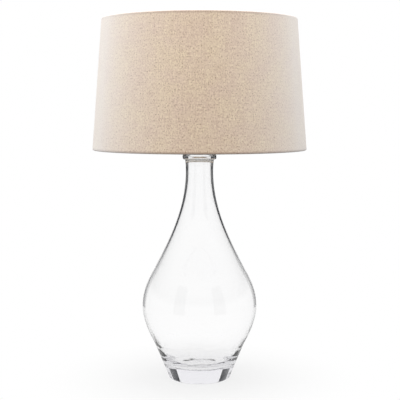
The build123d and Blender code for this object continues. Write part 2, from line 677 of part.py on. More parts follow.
with BuildPart() as terminal_screws:
    for side in (-1, 1):
        with BuildSketch(Plane.YZ.offset(side * TERMINAL_X)):
            with Locations((0, STEM_Z)):
                disc(TERMINAL_RADIUS)
        extrude(amount=side * (TERMINAL_HEAD - LIFT_OFF))
        with BuildSketch(Plane.YZ.offset(side * TERMINAL_X)):
            with Locations((0, STEM_Z)):
                disc(TERMINAL_SHANK_RADIUS)
        extrude(amount=-side * TERMINAL_SHANK)
pieces["terminal_screws"] = terminal_screws

with BuildPart() as screw_shell:
    with BuildSketch(Plane.XY.offset(BODY_TOP_Z)):
        disc(SCREW_INSIDE + SCREW_SHEET)
        hole(CONTACT_HOLE)
    extrude(amount=SCREW_SHEET)
    with BuildSketch(Plane.XY.offset(BODY_TOP_Z + SCREW_SHEET)):
        disc(SCREW_INSIDE + SCREW_SHEET)
        hole(SCREW_INSIDE)
    extrude(amount=SCREW_SHELL_LENGTH - SCREW_SHEET)
pieces["screw_shell"] = screw_shell

with BuildPart() as centre_contact:
    with BuildSketch(Plane.XZ):
        half_span = CONTACT_SPAN / 2
        with BuildLine():
            Polyline(
                (-half_span, BODY_TOP_Z),
                (half_span, BODY_TOP_Z),
                (half_span, BULB_Z),
                (-half_span, BULB_Z),
                (-half_span, BULB_Z - CONTACT_SHEET),
                (half_span - CONTACT_SHEET, BULB_Z - CONTACT_SHEET),
                (half_span - CONTACT_SHEET, BODY_TOP_Z + CONTACT_SHEET),
                (-half_span, BODY_TOP_Z + CONTACT_SHEET),
                close=True,
            )
        make_face()
    extrude(amount=CONTACT_WIDTH / 2, both=True)
pieces["centre_contact"] = centre_contact

# ---------------------------------------------------------------- turn switch

KNOB_Y = SHELL_RADIUS + KNOB_GAP

with BuildPart() as switch_stem:
    with BuildSketch(Plane.XZ.offset(BODY_RADIUS - STEM_INSET)):
        with Locations((0, STEM_Z)):
            disc(STEM_RADIUS)
    extrude(amount=KNOB_Y - BODY_RADIUS + STEM_INSET + KNOB_LENGTH / 2)
pieces["switch_stem"] = switch_stem

with BuildPart() as switch_knob:
    with BuildSketch(Plane.XZ.offset(KNOB_Y)):
        with Locations((0, STEM_Z)):
            RegularPolygon(KNOB_RADIUS, 2 * KNOB_FLUTES)
            with PolarLocations(KNOB_RADIUS, KNOB_FLUTES):
                RegularPolygon(KNOB_FLUTE_RADIUS, WIRE_FLATS, mode=Mode.SUBTRACT)
    extrude(amount=KNOB_LENGTH)
    with BuildSketch(Plane.XZ.offset(KNOB_Y)):
        with Locations((0, STEM_Z)):
            disc(STEM_RADIUS)
    extrude(amount=KNOB_LENGTH / 2, mode=Mode.SUBTRACT)
pieces["switch_knob"] = switch_knob

# ---------------------------------------------------------------- bulb

with BuildPart() as bulb_tip:
    with BuildSketch(Plane.XY.offset(BULB_Z)):
        Circle(BULB_TIP_RADIUS)
    extrude(amount=BULB_TIP_RISE)
pieces["bulb_tip"] = bulb_tip

with BuildPart() as bulb_insulator:
    section = [
        (0, INSULATOR_Z),
        (BULB_TIP_RADIUS, INSULATOR_Z),
        (BULB_BASE_RADIUS, BASE_Z),
        (0, BASE_Z),
    ]
    add(turned(section, flats(BULB_BASE_RADIUS)))
pieces["bulb_insulator"] = bulb_insulator

with BuildPart() as bulb_base:
    with BuildSketch(Plane.XY.offset(BASE_Z)):
        disc(BULB_BASE_RADIUS)
        hole(BULB_BASE_RADIUS - BULB_BASE_SHEET)
    extrude(amount=BULB_BASE_RISE)
pieces["bulb_base"] = bulb_base


def globe_side(shrink, steps):
    """Points of the bulb's glass from its neck to its crown, drawn in by shrink."""
    neck = BULB_NECK_RADIUS - shrink
    belly = BULB_RADIUS - shrink
    neck_hold, belly_hold = (0, BULB_NECK_HOLD), (0, BULB_BELLY_HOLD)
    flank = curve((neck, BASE_TOP_Z), neck_hold, belly_hold, (belly, BULB_BELLY_Z), steps)
    crown = arc((0, BULB_BELLY_Z), belly, 0, 90, steps)[1:-1]
    return [(neck, BASE_TOP_Z - BULB_NECK_SEAT), (neck, BASE_TOP_Z), *flank, *crown]


with BuildPart() as bulb_globe:
    section = (
        [*globe_side(0, 4), (0, BULB_TOP_Z), (0, BULB_TOP_Z - BULB_WALL)]
        + [*reversed(globe_side(BULB_WALL, 4))]
    )
    add(turned(section, flats(BULB_RADIUS)))
pieces["bulb_globe"] = bulb_globe

# ---------------------------------------------------------------- shade


def wall_point(depth, height):
    """A point of the shade's slanted wall, depth in from the outside of the linen."""
    widening = SHADE_BOTTOM_RADIUS - SHADE_TOP_RADIUS
    outside = SHADE_BOTTOM_RADIUS - widening * height / SHADE_HEIGHT
    return (outside - depth, SHADE_Z + height)


# Upright planes along the spider's arms, x outwards and y up
arm_planes = [
    Plane((0, 0, 0), x_dir=(cos(turn), sin(turn), 0), z_dir=(sin(turn), -cos(turn), 0))
    for turn in (radians(SPIDER_TURN + 360 * arm / SPIDER_ARMS) for arm in range(SPIDER_ARMS))
]

with BuildPart() as shade_fabric:
    top = SHADE_HEIGHT
    section = [
        wall_point(HEM_CHAMFER, 0),
        wall_point(0, HEM_CHAMFER),
        wall_point(0, top - HEM_CHAMFER),
        wall_point(HEM_CHAMFER, top),
        wall_point(HEM_BACK, top),
        wall_point(HEM_BACK, top - HEM_DEPTH),
        wall_point(HEM_FACE, top - HEM_DEPTH),
        wall_point(HEM_FACE, top - LINEN),
        wall_point(LINEN, top - LINEN),
        wall_point(LINEN, LINEN),
        wall_point(HEM_FACE, LINEN),
        wall_point(HEM_FACE, HEM_DEPTH),
        wall_point(HEM_BACK, HEM_DEPTH),
        wall_point(HEM_BACK, 0),
    ]
    add(turned(section, SHADE_FLATS))
    # the inner hem is notched round each arm of the spider
    hem_x, hem_z = wall_point(HEM_FACE - GLUE_LINE, top - HEM_DEPTH)
    for arm in arm_planes:
        with BuildSketch(arm.offset(-NOTCH_WIDTH / 2)):
            with Locations((hem_x, hem_z)):
                Rectangle(3 * LINEN, NOTCH_HEIGHT, align=(Align.MAX, Align.MIN))
        extrude(amount=NOTCH_WIDTH, mode=Mode.SUBTRACT)
pieces["shade_fabric"] = shade_fabric

with BuildPart() as shade_liner:
    liner_end = LINEN + GLUE_LINE
    section = [
        wall_point(LINER_FACE, liner_end),
        wall_point(LINER_FACE, SHADE_HEIGHT - liner_end),
        wall_point(LINER_FACE + LINER, SHADE_HEIGHT - liner_end),
        wall_point(LINER_FACE + LINER, liner_end),
    ]
    add(turned(section, SHADE_FLATS))
pieces["shade_liner"] = shade_liner

ring_places = {
    "shade_bottom_ring": wall_point(RING_DEPTH, RING_DROP),
    "shade_top_ring": wall_point(RING_DEPTH, SHADE_HEIGHT - RING_DROP),
}
for ring_name, place in ring_places.items():
    with BuildPart() as ring:
        wire = arc(place, RING_WIRE_RADIUS, 0, 360, RING_FLATS)[:-1]
        add(turned(wire, SHADE_FLATS))
    pieces[ring_name] = ring

with BuildPart() as shade_spider:
    ring_x, ring_z = ring_places["shade_top_ring"]
    arm_z = SEAT_Z + SPIDER_HUB_RISE / 2
    arm_end = ring_x - RING_WIRE_RADIUS - ARM_GAP
    for arm in arm_planes:
        with BuildLine(arm) as arm_path:
            Polyline(
                (SPIDER_HUB_RADIUS - SPIDER_WELD, arm_z),
                (ring_x - SPIDER_KNEE, arm_z),
                (arm_end, ring_z),
            )
        with BuildSketch(Plane(arm_path.line @ 0, z_dir=arm_path.line % 0)):
            RegularPolygon(SPIDER_WIRE_RADIUS, WIRE_FLATS)
        sweep(path=arm_path.line, transition=Transition.RIGHT)
    with BuildSketch(Plane.XY.offset(SEAT_Z)):
        disc(SPIDER_HUB_RADIUS)
        Circle(SPIDER_HUB_HOLE, mode=Mode.SUBTRACT)
    extrude(amount=SPIDER_HUB_RISE)
pieces["shade_spider"] = shade_spider

# ---------------------------------------------------------------- STEP files

os.makedirs("parts", exist_ok=True)
for name, piece in pieces.items():
    piece.part.label = name
    export_step(piece.part, f"parts/{name}.step")
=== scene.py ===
import json
from math import asin, atan2, cos, degrees, hypot, pi, radians, sin, tau

import bmesh
import bpy
from bpy.props import FloatProperty, FloatVectorProperty, PointerProperty
from mathutils import Matrix, Vector, noise
from mathutils.geometry import interpolate_bezier


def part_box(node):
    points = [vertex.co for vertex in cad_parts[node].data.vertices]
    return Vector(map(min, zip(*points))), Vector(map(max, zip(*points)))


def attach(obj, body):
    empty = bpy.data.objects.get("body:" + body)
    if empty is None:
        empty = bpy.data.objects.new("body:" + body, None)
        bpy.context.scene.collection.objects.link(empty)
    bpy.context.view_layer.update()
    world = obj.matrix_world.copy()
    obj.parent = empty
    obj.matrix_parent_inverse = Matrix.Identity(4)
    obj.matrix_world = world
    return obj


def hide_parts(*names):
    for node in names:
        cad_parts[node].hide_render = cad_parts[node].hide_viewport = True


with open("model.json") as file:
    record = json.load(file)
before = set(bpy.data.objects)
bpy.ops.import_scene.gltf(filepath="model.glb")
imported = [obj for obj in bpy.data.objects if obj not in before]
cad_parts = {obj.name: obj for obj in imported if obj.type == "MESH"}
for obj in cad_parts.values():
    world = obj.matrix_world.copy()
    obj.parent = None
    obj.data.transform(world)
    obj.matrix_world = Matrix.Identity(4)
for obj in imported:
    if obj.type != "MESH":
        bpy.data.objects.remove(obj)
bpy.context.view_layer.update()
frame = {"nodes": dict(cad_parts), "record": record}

bl_info = {
    "name": "Glass bottle table lamp",
    "version": (1, 0, 0),
    "blender": (4, 5, 0),
    "location": "3D View > Sidebar > Lamp",
    "description": "Dresses a clear glass bottle lamp with a linen drum shade around its fixed frame",
    "category": "Object",
}

# Metres throughout. +Z is up, the origin is the centre of the foot, and the front is -Y.
MM = 0.001
WELD = 1e-6  # vertices nearer than this are one
EDGE = 0.3 * MM  # rounding that tools, dies and polishing leave on metal and plastic
PLAY = 0.1 * MM  # between pieces that fit into one another

# Flats round a spun piece, by how large it is
LINEN_FLATS, WIDE_FLATS, CAP_FLATS, MAIN_FLATS, SMALL_FLATS, TINY_FLATS = 288, 192, 128, 96, 64, 48
KNOB_FLUTES = 12
KNOB_FLATS = 12 * KNOB_FLUTES
SLOTS = {part["node"]: part["material_slot"] for part in frame["record"]["subparts"]}

# ---------------------------------------------------------------- sizes


def low(node):
    """The lowest corner of a node of the frame."""
    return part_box(node)[0]


def high(node):
    """The highest corner of a node of the frame."""
    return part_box(node)[1]


def levels(node):
    """The lowest and the highest level of a node of the frame."""
    return low(node).z, high(node).z


def length(name, description, millimetres):
    """A length property, kept in metres."""
    return FloatProperty(
        name=name, description=description, default=millimetres * MM, unit="LENGTH", precision=5
    )


def linear(hex_colour):
    """An sRGB hex value such as #D6BFA9, as linear red, green and blue."""
    shares = [int(hex_colour[place:place + 2], 16) / 255 for place in (1, 3, 5)]
    return tuple(share / 12.92 if share <= 0.04045 else ((share + 0.055) / 1.055) ** 2.4 for share in shares)


def colour(name, description, default):
    """A colour property from an sRGB hex value, kept in linear light."""
    return FloatVectorProperty(
        name=name, description=description, default=linear(default), size=3, subtype="COLOR", min=0, max=1
    )


class BottleSettings(bpy.types.PropertyGroup):
    """Sizes of the blown bottle, outside unless they say otherwise."""

    height: length("Height", "Foot to the top of the lip", high("glass_body").z / MM)
    foot_radius: length("Foot radius", "Of the cone at the table", 58)
    foot_rounding: length("Foot rounding", "Of the foot's lower edge", 3)
    cone_radius: length("Cone radius", "At the top of the straight cone", 85.7)
    cone_rise: length("Cone rise", "Table to the top of the straight cone", 67)
    belly_radius: length("Belly radius", "Widest radius of the bottle", high("glass_body").x / MM)
    belly_rise: length("Belly rise", "Cone to the widest level", 76)
    shoulder_radius: length("Shoulder radius", "Where the side turns from convex to concave", 86)
    shoulder_rise: length("Shoulder rise", "Widest level to the shoulder", 72)
    neck_radius: length("Neck radius", "Narrowest radius", 26.2)
    neck_rise: length("Neck rise", "Shoulder to the narrowest level", 187)
    flare: length("Flare", "How much the neck widens below the lip", 2.1)
    lip_radius: length("Lip radius", "Of the rolled lip", 32.5)
    lip_depth: length("Lip depth", "Height of the rolled lip", 10)
    lip_rounding: length("Lip rounding", "Of the lip's edges", 3.5)
    floor: length("Floor", "Thickness of the glass in the foot", 29)
    floor_radius: length("Floor radius", "Of the flat inside floor", 40)
    punt_radius: length("Punt radius", "Of the shallow hollow under the foot", 38)
    punt_depth: length("Punt depth", "Of that hollow", 3)
    heel_wall: length("Heel wall", "Thickness at the top of the cone", 4.8)
    belly_wall: length("Belly wall", "Thickness at the widest level", 3.2)
    shoulder_wall: length("Shoulder wall", "Thickness at the shoulder", 3.4)
    neck_wall: length("Neck wall", "Thickness at the neck", 4.7)
    waviness: length("Waviness", "How far the blown inner wall wanders near the heel", 0.8)


class FittingSettings(bpy.types.PropertyGroup):
    """Sizes of the cap, the harp and the finial."""

    cap_sheet: length("Cap sheet", "Thickness of the spun cap", 1.2)
    cap_brim: length("Cap brim", "Width of the cap's flat brim", 3.5)
    cap_top: length("Cap top", "Radius of the cap's flat top", 12)
    nipple_bore: length("Nipple bore", "Radius of the hole through the nipple", 3.3)
    pipe_pitch: length("Pipe thread", "Pitch of the nipple, the stud and the finial", 25.4 / 27)
    wire: length("Harp wire", "Radius of the harp's wire", 2)
    leg_spacing: length("Leg spacing", "Between the harp's legs", 66)
    harp_width: length("Harp width", "Between the middles of its wire", 110)
    leg_straight: length("Leg straight", "Straight foot of each leg", 22)
    lean: FloatProperty(
        name="Lean", description="Where the legs lean out most", default=radians(30), subtype="ANGLE"
    )
    eye: length("Eye", "Radius of the flattened eye on top of the harp", 7)
    eye_thickness: length("Eye thickness", "Of that eye", 3.2)
    saddle_sheet: length("Saddle sheet", "Thickness of the saddle's strip", 1.6)
    saddle_width: length("Saddle width", "Of the saddle's strip", 12)
    saddle_bend: length("Saddle bend", "Inner radius of its bends", 3)
    prong_length: length("Prong length", "Of the prongs in the sleeves", 6)
    prong_width: length("Prong width", "Of those prongs", 3.4)
    stud: length("Stud", "Radius of the stud", 3.1)
    shank: length("Shank", "Radius of the stud's shank in the eye", 2.3)
    rivet: length("Rivet", "Radius of the stud's rivet under the eye", 4.2)
    seat: length("Seat", "Thickness of the stud's seat and rivet", 1.2)
    finial_foot: length("Finial foot", "Height of the finial's foot", 2)
    finial_waist: length("Finial waist", "Radius of its waist", 5.4)
    finial_waist_rise: length("Finial waist rise", "Foot to waist", 5)
    finial_ball: length("Finial ball", "Radius of its ball", 7.5)


class SocketSettings(bpy.types.PropertyGroup):
    """Sizes of the lamp socket, its switch and the bulb."""

    sheet: length("Cap sheet", "Thickness of the socket's cap", 0.8)
    hub_rise: length("Hub rise", "Height of the threaded hub", 7)
    dome_rise: length("Dome rise", "Hub to the wire chamber", 6)
    chamber_rise: length("Chamber rise", "Height of the wire chamber", 12)
    chamber_taper: length("Chamber taper", "How much narrower its foot is", 3.5)
    ledge: length("Ledge", "Width of the step that carries the body", 1)
    outlet_flange: length("Outlet flange", "Radius of the cord bushing's flange", 5.2)
    outlet_shank: length("Outlet shank", "Radius of its shank", 4.2)
    flange_thickness: length("Flange thickness", "Of the bushing's flange", 1.5)
    shell_sheet: length("Shell sheet", "Thickness of the socket's shell", 0.6)
    shell_bead: length("Shell bead", "How far its bead stands out", 0.8)
    bead_rise: length("Bead rise", "Height of that bead", 2)
    liner_sheet: length("Liner sheet", "Thickness of the insulating sleeve", 0.8)
    slot: length("Slot", "Half the width of the slot round the switch's stem", 3.4)
    lamp_pitch: length("Lamp thread", "Pitch of the bulb's thread", 25.4 / 7)
    lamp_depth: length("Lamp thread depth", "Depth of the bulb's rolled thread", 0.55)
    stem: length("Stem", "Radius of the switch's stem", 2.4)
    flutes: length("Flutes", "Depth of the knob's flutes", 0.55)
    bulb_wall: length("Bulb wall", "Thickness of the bulb's glass", 1)


class ShadeSettings(bpy.types.PropertyGroup):
    """Sizes and colours of the drum shade."""

    bottom_radius: length("Bottom radius", "Outside of the linen at its lower edge", 203.2)
    top_radius: length("Top radius", "Outside of the linen at its upper edge", 184.15)
    linen: length("Linen", "Thickness of the linen", 0.6)
    liner: length("Liner", "Thickness of the stiff sheet under the linen", 0.5)
    ring_radius: length("Ring radius", "Of the ring's wire", 1.6)
    hem: length("Hem", "Depth of the linen turned over each ring", 12)
    seam: length("Seam", "Width of the lap at the back", 12)
    slack: length("Slack", "How far the linen stands off between the rings", 0.35)
    arm_wire: length("Arm wire", "Radius of the spider's wire", 1.4)
    hub: length("Hub", "Radius of the spider's hub", 12)
    hub_hole: length("Hub hole", "Radius of its hole", 5.4)
    knee: length("Knee", "Ring to the bend of each arm", 18)
    thread: length("Thread spacing", "Drawn three times the real 0.7 mm, so that it shows", 2.1)
    # The Fuzz setting is the strength of a painted sheen: the linen's colour is painted towards white where
    # the cloth is seen edge on
    painted_sheen: FloatProperty(
        name="Fuzz", description="Share of the yarn that its fuzz hides, seen edge on", default=0.6
    )
    linen_colour: colour("Linen colour", "Natural flax, washed", "#F9D8C0")
    fleck_colour: colour("Fleck colour", "Bits of flax stalk spun into the yarn", "#A07C5A")


class StageSettings(bpy.types.PropertyGroup):
    """Camera and light."""

    camera_distance: length("Camera distance", "In front of the lamp's axis", 1939.8)
    camera_height: length("Camera height", "Above the table", 524.1)
    camera_aside: length("Camera aside", "To the right of the lamp's axis", 0.95)
    camera_pitch: FloatProperty(
        name="Camera pitch", description="Looking down", default=0.09199, subtype="ANGLE"
    )
    lens: FloatProperty(name="Lens", description="Focal length in millimetres", default=91.49)
    ambient: FloatProperty(name="Ambient", description="Light from all round the studio", default=0.96)
    side_power: FloatProperty(name="Side light", description="Watts of the light at the left", default=4.2)
    top_power: FloatProperty(name="Top light", description="Watts of the light above", default=15.0)


# ---------------------------------------------------------------- making meshes


def bend(start, start_hold, end_hold, end, steps):
    """Points after start on a smooth curve to end; the holds are the ways it leaves and arrives."""
    start, end = Vector(start), Vector(end)
    curve = interpolate_bezier(
        start, start + Vector(start_hold), end - Vector(end_hold), end, steps + 1
    )
    return [tuple(point) for point in curve[1:]]


def arc(centre, reach, start, end, steps):
    """Points of an arc about centre, from start to end in degrees; reach is a radius or a pair."""
    across, up = reach if isinstance(reach, tuple) else (reach, reach)
    turns = [radians(start + (end - start) * step / steps) for step in range(steps + 1)]
    return [(centre[0] + across * cos(turn), centre[1] + up * sin(turn)) for turn in turns]


def oblong(left, right, foot, top):
    """A rectangular outline."""
    return [(left, foot), (right, foot), (right, top), (left, top)]


def is_open(outline):
    """Whether an outline starts and ends on the axis, so that it closes itself when it's spun."""
    return outline[0][0] == outline[-1][0] == 0


def softened(outline, rounding=EDGE, steps=3, least=25):
    """An outline whose corners sharper than least degrees are small curves."""
    points = [Vector(point) for point in outline]
    soft = []
    for place, corner in enumerate(points):
        before = points[place - 1] - corner
        after = points[(place + 1) % len(points)] - corner
        at_end = is_open(outline) and place in (0, len(points) - 1)
        if at_end or not before.length or not after.length or degrees(pi - before.angle(after)) < least:
            soft.append(tuple(corner))
            continue
        reach = min(rounding, before.length * 0.45, after.length * 0.45)
        entry = corner + before.normalized() * reach
        leaving = corner + after.normalized() * reach
        for step in range(steps + 1):
            share = step / steps
            soft.append(tuple(entry.lerp(corner, share).lerp(corner.lerp(leaving, share), share)))
    return soft


def thread_side(radius, depth, foot, top, pitch, steps):
    """Side of a thread from foot up to top, its turns drawn as rings: V-shaped in 4 steps, rolled in 8."""
    count = int((top - foot) / pitch * steps)
    return [
        (radius - depth * (0.5 + 0.5 * cos(tau * step / steps)), foot + pitch * step / steps)
        for step in range(count + 1)
    ]


def spun(outline, steps):
    """A solid round the Z axis from an outline of (radius, height) points."""
    mesh = bmesh.new()
    corners = [mesh.verts.new((radius, 0, height)) for radius, height in outline]
    ends = corners[1:] if is_open(outline) else corners[1:] + corners[:1]
    edges = [mesh.edges.new(pair) for pair in zip(corners, ends)]
    bmesh.ops.spin(
        mesh, geom=corners + edges, cent=(0, 0, 0), axis=(0, 0, 1), angle=tau, steps=steps, use_merge=True
    )
    tidy(mesh)
    return mesh


def turned(outline, steps, rounding=EDGE, least=25):
    """A solid like spun's, with its sharp corners softened."""
    return spun(softened(outline, rounding, least=least), steps)


def tidy(mesh):
    """Merges doubles and turns all faces outwards."""
    bmesh.ops.remove_doubles(mesh, verts=mesh.verts[:], dist=WELD)
    bmesh.ops.recalc_face_normals(mesh, faces=mesh.faces[:])


def push_out(corner, distance):
    """Moves a corner away from the Z axis."""
    share = 1 + distance / hypot(corner.co.x, corner.co.y)
    corner.co.x *= share
    corner.co.y *= share


def aimed(mesh, place, axis):
    """Moves a mesh made round the Z axis to place, with its Z along axis."""
    turn = Vector(axis).to_track_quat("Z", "Y").to_matrix().to_4x4()
    bmesh.ops.transform(mesh, matrix=Matrix.Translation(place) @ turn, verts=mesh.verts[:])
    return mesh


def slab(outline, near, far):
    """An upright slab from an outline of (x, z) points, between two values of y."""
    mesh = bmesh.new()
    face = mesh.faces.new([mesh.verts.new((x, near, z)) for x, z in outline])
    grown = bmesh.ops.extrude_face_region(mesh, geom=[face])
    moved = [item for item in grown["geom"] if isinstance(item, bmesh.types.BMVert)]
    bmesh.ops.translate(mesh, verts=moved, vec=(0, far - near, 0))
    tidy(mesh)
    return mesh


def rod(radius, length, steps=32):
    """A plain round rod up from the origin, for cutting with."""
    return spun(oblong(0, radius, 0, length), steps)


def cut(mesh, *cutters):
    """Takes closed cutters out of a closed mesh."""
    holders = []
    for shape in (mesh, *cutters):
        data = bpy.data.meshes.new("cut")
        shape.to_mesh(data)
        shape.free()
        holders.append(add_object("cut", data))
    for cutter in holders[1:]:
        change = holders[0].modifiers.new("cut", "BOOLEAN")
        change.operation = "DIFFERENCE"
        change.solver = "EXACT"
        change.object = cutter
    depsgraph = bpy.context.evaluated_depsgraph_get()
    result = bmesh.new()
    result.from_object(holders[0], depsgraph)
    for holder in holders:
        bpy.data.meshes.remove(holder.data)
    tidy(result)
    return result


def add_wire(mesh, points, radius, sides=16):
    """Adds a round wire with closed ends along points."""
    curve = bpy.data.curves.new("wire", "CURVE")
    curve.dimensions = "3D"
    spline = curve.splines.new("POLY")
    spline.points.add(len(points) - 1)
    for knot, point in zip(spline.points, points):
        knot.co = (*point, 1)
    curve.bevel_depth = radius
    curve.bevel_resolution = sides // 4 - 1
    curve.use_fill_caps = True
    holder = bpy.data.objects.new("wire", curve)
    data = bpy.data.meshes.new_from_object(holder)
    mesh.from_mesh(data)
    bpy.data.objects.remove(holder)
    bpy.data.curves.remove(curve)
    bpy.data.meshes.remove(data)


def join(*meshes):
    """One bmesh out of several."""
    whole = meshes[0]
    for mesh in meshes[1:]:
        part = bpy.data.meshes.new("part")
        mesh.to_mesh(part)
        whole.from_mesh(part)
        bpy.data.meshes.remove(part)
        mesh.free()
    return whole


def add_object(name, data):
    """Adds an object to the scene."""
    thing = bpy.data.objects.new(name, data)
    bpy.context.scene.collection.objects.link(thing)
    return thing


def new_object(name, mesh, material):
    """Makes a bmesh an object in the scene."""
    data = bpy.data.meshes.new(name)
    mesh.to_mesh(data)
    mesh.free()
    data.materials.append(material)
    return add_object(name, data)


def piece_from(mesh, name, body, node, crease=40):
    """Makes a bmesh a piece that rides on a body and stands for a node of the frame, in its finish.

    Edges sharper than crease degrees stay sharp in the shading.
    """
    for face in mesh.faces:
        face.smooth = True
    for edge in mesh.edges:
        if len(edge.link_faces) == 2:
            edge.smooth = edge.calc_face_angle(0) < radians(crease)
    slot = SLOTS[node]
    piece = new_object(name, mesh, FINISHES[slot])
    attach(piece, body)
    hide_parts(node)
    return piece


# ---------------------------------------------------------------- materials

FINISHES = {}  # by the record's slot that each one finishes


def feed(tree, node, inputs):
    """Sets a node's inputs, each to a value or from the socket that it is linked from."""
    for name, value in inputs.items():
        if isinstance(value, bpy.types.NodeSocket):
            tree.links.new(value, node.inputs[name])
        else:
            node.inputs[name].default_value = value


def add_node(tree, kind, inputs, **settings):
    """Adds a shader node and returns its outputs."""
    node = tree.nodes.new(f"ShaderNode{kind}")
    for name, value in settings.items():
        setattr(node, name, value)
    feed(tree, node, inputs)
    return node.outputs


def maths(tree, operation, *values):
    """The result of an operation on values or sockets."""
    return add_node(tree, "Math", dict(enumerate(values)), operation=operation)[0]


def ranged(tree, value, start, end, first=0.0, last=1.0, **settings):
    """Goes from first to last while value goes from start to end, and stays there outside."""
    spans = {"From Min": start, "From Max": end, "To Min": first, "To Max": last}
    return add_node(tree, "MapRange", {"Value": value, **spans}, **settings)[0]


def mixed(tree, share, first, second, kind="RGBA", **settings):
    """Two colours mixed by a share, or two values where kind is FLOAT."""
    place, result = (6, 2) if kind == "RGBA" else (2, 0)  # of its sockets for that kind
    inputs = {"Factor": share, place: first, place + 1: second}
    return add_node(tree, "Mix", inputs, data_type=kind, **settings)[result]


def clouds(tree, place, size, detail=2.0):
    """Soft random shares, in clouds that many metres across."""
    return add_node(tree, "TexNoise", {"Vector": place, "Scale": 1 / size, "Detail": detail})[0]


def ramp(tree, share, *stops):
    """A colour that follows a share through two stops, each a place and a linear colour."""
    result = add_node(tree, "ValToRGB", {"Fac": share})[0]
    for element, (position, tint) in zip(result.node.color_ramp.elements, stops):
        element.position = position
        element.color = (*tint, 1)
    return result


def relief(tree, height, strength, distance):
    """A normal for a surface that rises and falls with height."""
    return add_node(tree, "Bump", {"Height": height, "Strength": strength, "Distance": distance})[0]


def scaled(tint, factor):
    """A colour made darker or lighter, and white at most."""
    return [min(1, share * factor) for share in tint]


def opaque(hex_colour):
    """An sRGB hex value as a colour socket takes it."""
    return (*linear(hex_colour), 1)


def new_material(name):
    """An empty material with its tree, its shader and its texture coordinates."""
    material = bpy.data.materials.new(name)
    material.use_nodes = True
    tree = material.node_tree
    return material, tree, tree.nodes["Principled BSDF"], add_node(tree, "TexCoord", {})


def clear_glass():
    """Soda-lime glass, blown and fire polished: colourless, mirror smooth, with a faint ripple.

    Only its thick foot is deep enough to show the lavender that the decolouriser leaves.
    """
    material, tree, shader, place = new_material("blown_clear_glass")
    ripple = clouds(tree, place["Object"], 1 / 14, 1.0)
    feed(tree, shader, {
        "Base Color": (1, 1, 1, 1), "Transmission Weight": 1.0, "Roughness": 0.0, "IOR": 1.5,
        "Normal": relief(tree, ripple, 0.02, 1 * MM),
    })
    absorbed = add_node(tree, "VolumeAbsorption", {"Color": opaque("#3C1E84"), "Density": 1.3})
    feed(tree, tree.nodes["Material Output"], {"Volume": absorbed[0]})
    return material


def metal(name, hex_colour, roughness, grain, stretch=(1, 1, 1)):
    """A bare or plated metal. Its grain is that many metres wide, and finer along stretch's longer sides."""
    material, tree, shader, place = new_material(name)
    tint = linear(hex_colour)
    lie = add_node(tree, "Mapping", {"Vector": place["Object"], "Scale": stretch})
    scratch = clouds(tree, lie[0], grain, 3.0)
    # handling and plating leave clouds about 15 mm across
    cloud = clouds(tree, place["Object"], 15 * MM)
    feed(tree, shader, {
        "Metallic": 1.0,
        "Base Color": ramp(tree, cloud, (0.3, scaled(tint, 0.9)), (0.7, tint)),
        "Roughness": ranged(tree, scratch, 0, 1, roughness * 0.8, roughness * 1.25),
        "Normal": relief(tree, scratch, 0.12, 0.05 * MM),
    })
    return material


def moulded(name, hex_colour, roughness, grain, transmission=0.0):
    """A moulded, pressed or sprayed surface, with its fine orange peel."""
    material, tree, shader, place = new_material(name)
    tint = linear(hex_colour)
    peel = clouds(tree, place["Object"], grain)
    feed(tree, shader, {
        "Transmission Weight": transmission,
        "Base Color": ramp(tree, peel, (0.3, scaled(tint, 0.93)), (0.7, tint)),
        "Roughness": ranged(tree, peel, 0, 1, roughness * 0.85, roughness * 1.15),
        "Normal": relief(tree, peel, 0.15, 0.1 * MM),
    })
    return material


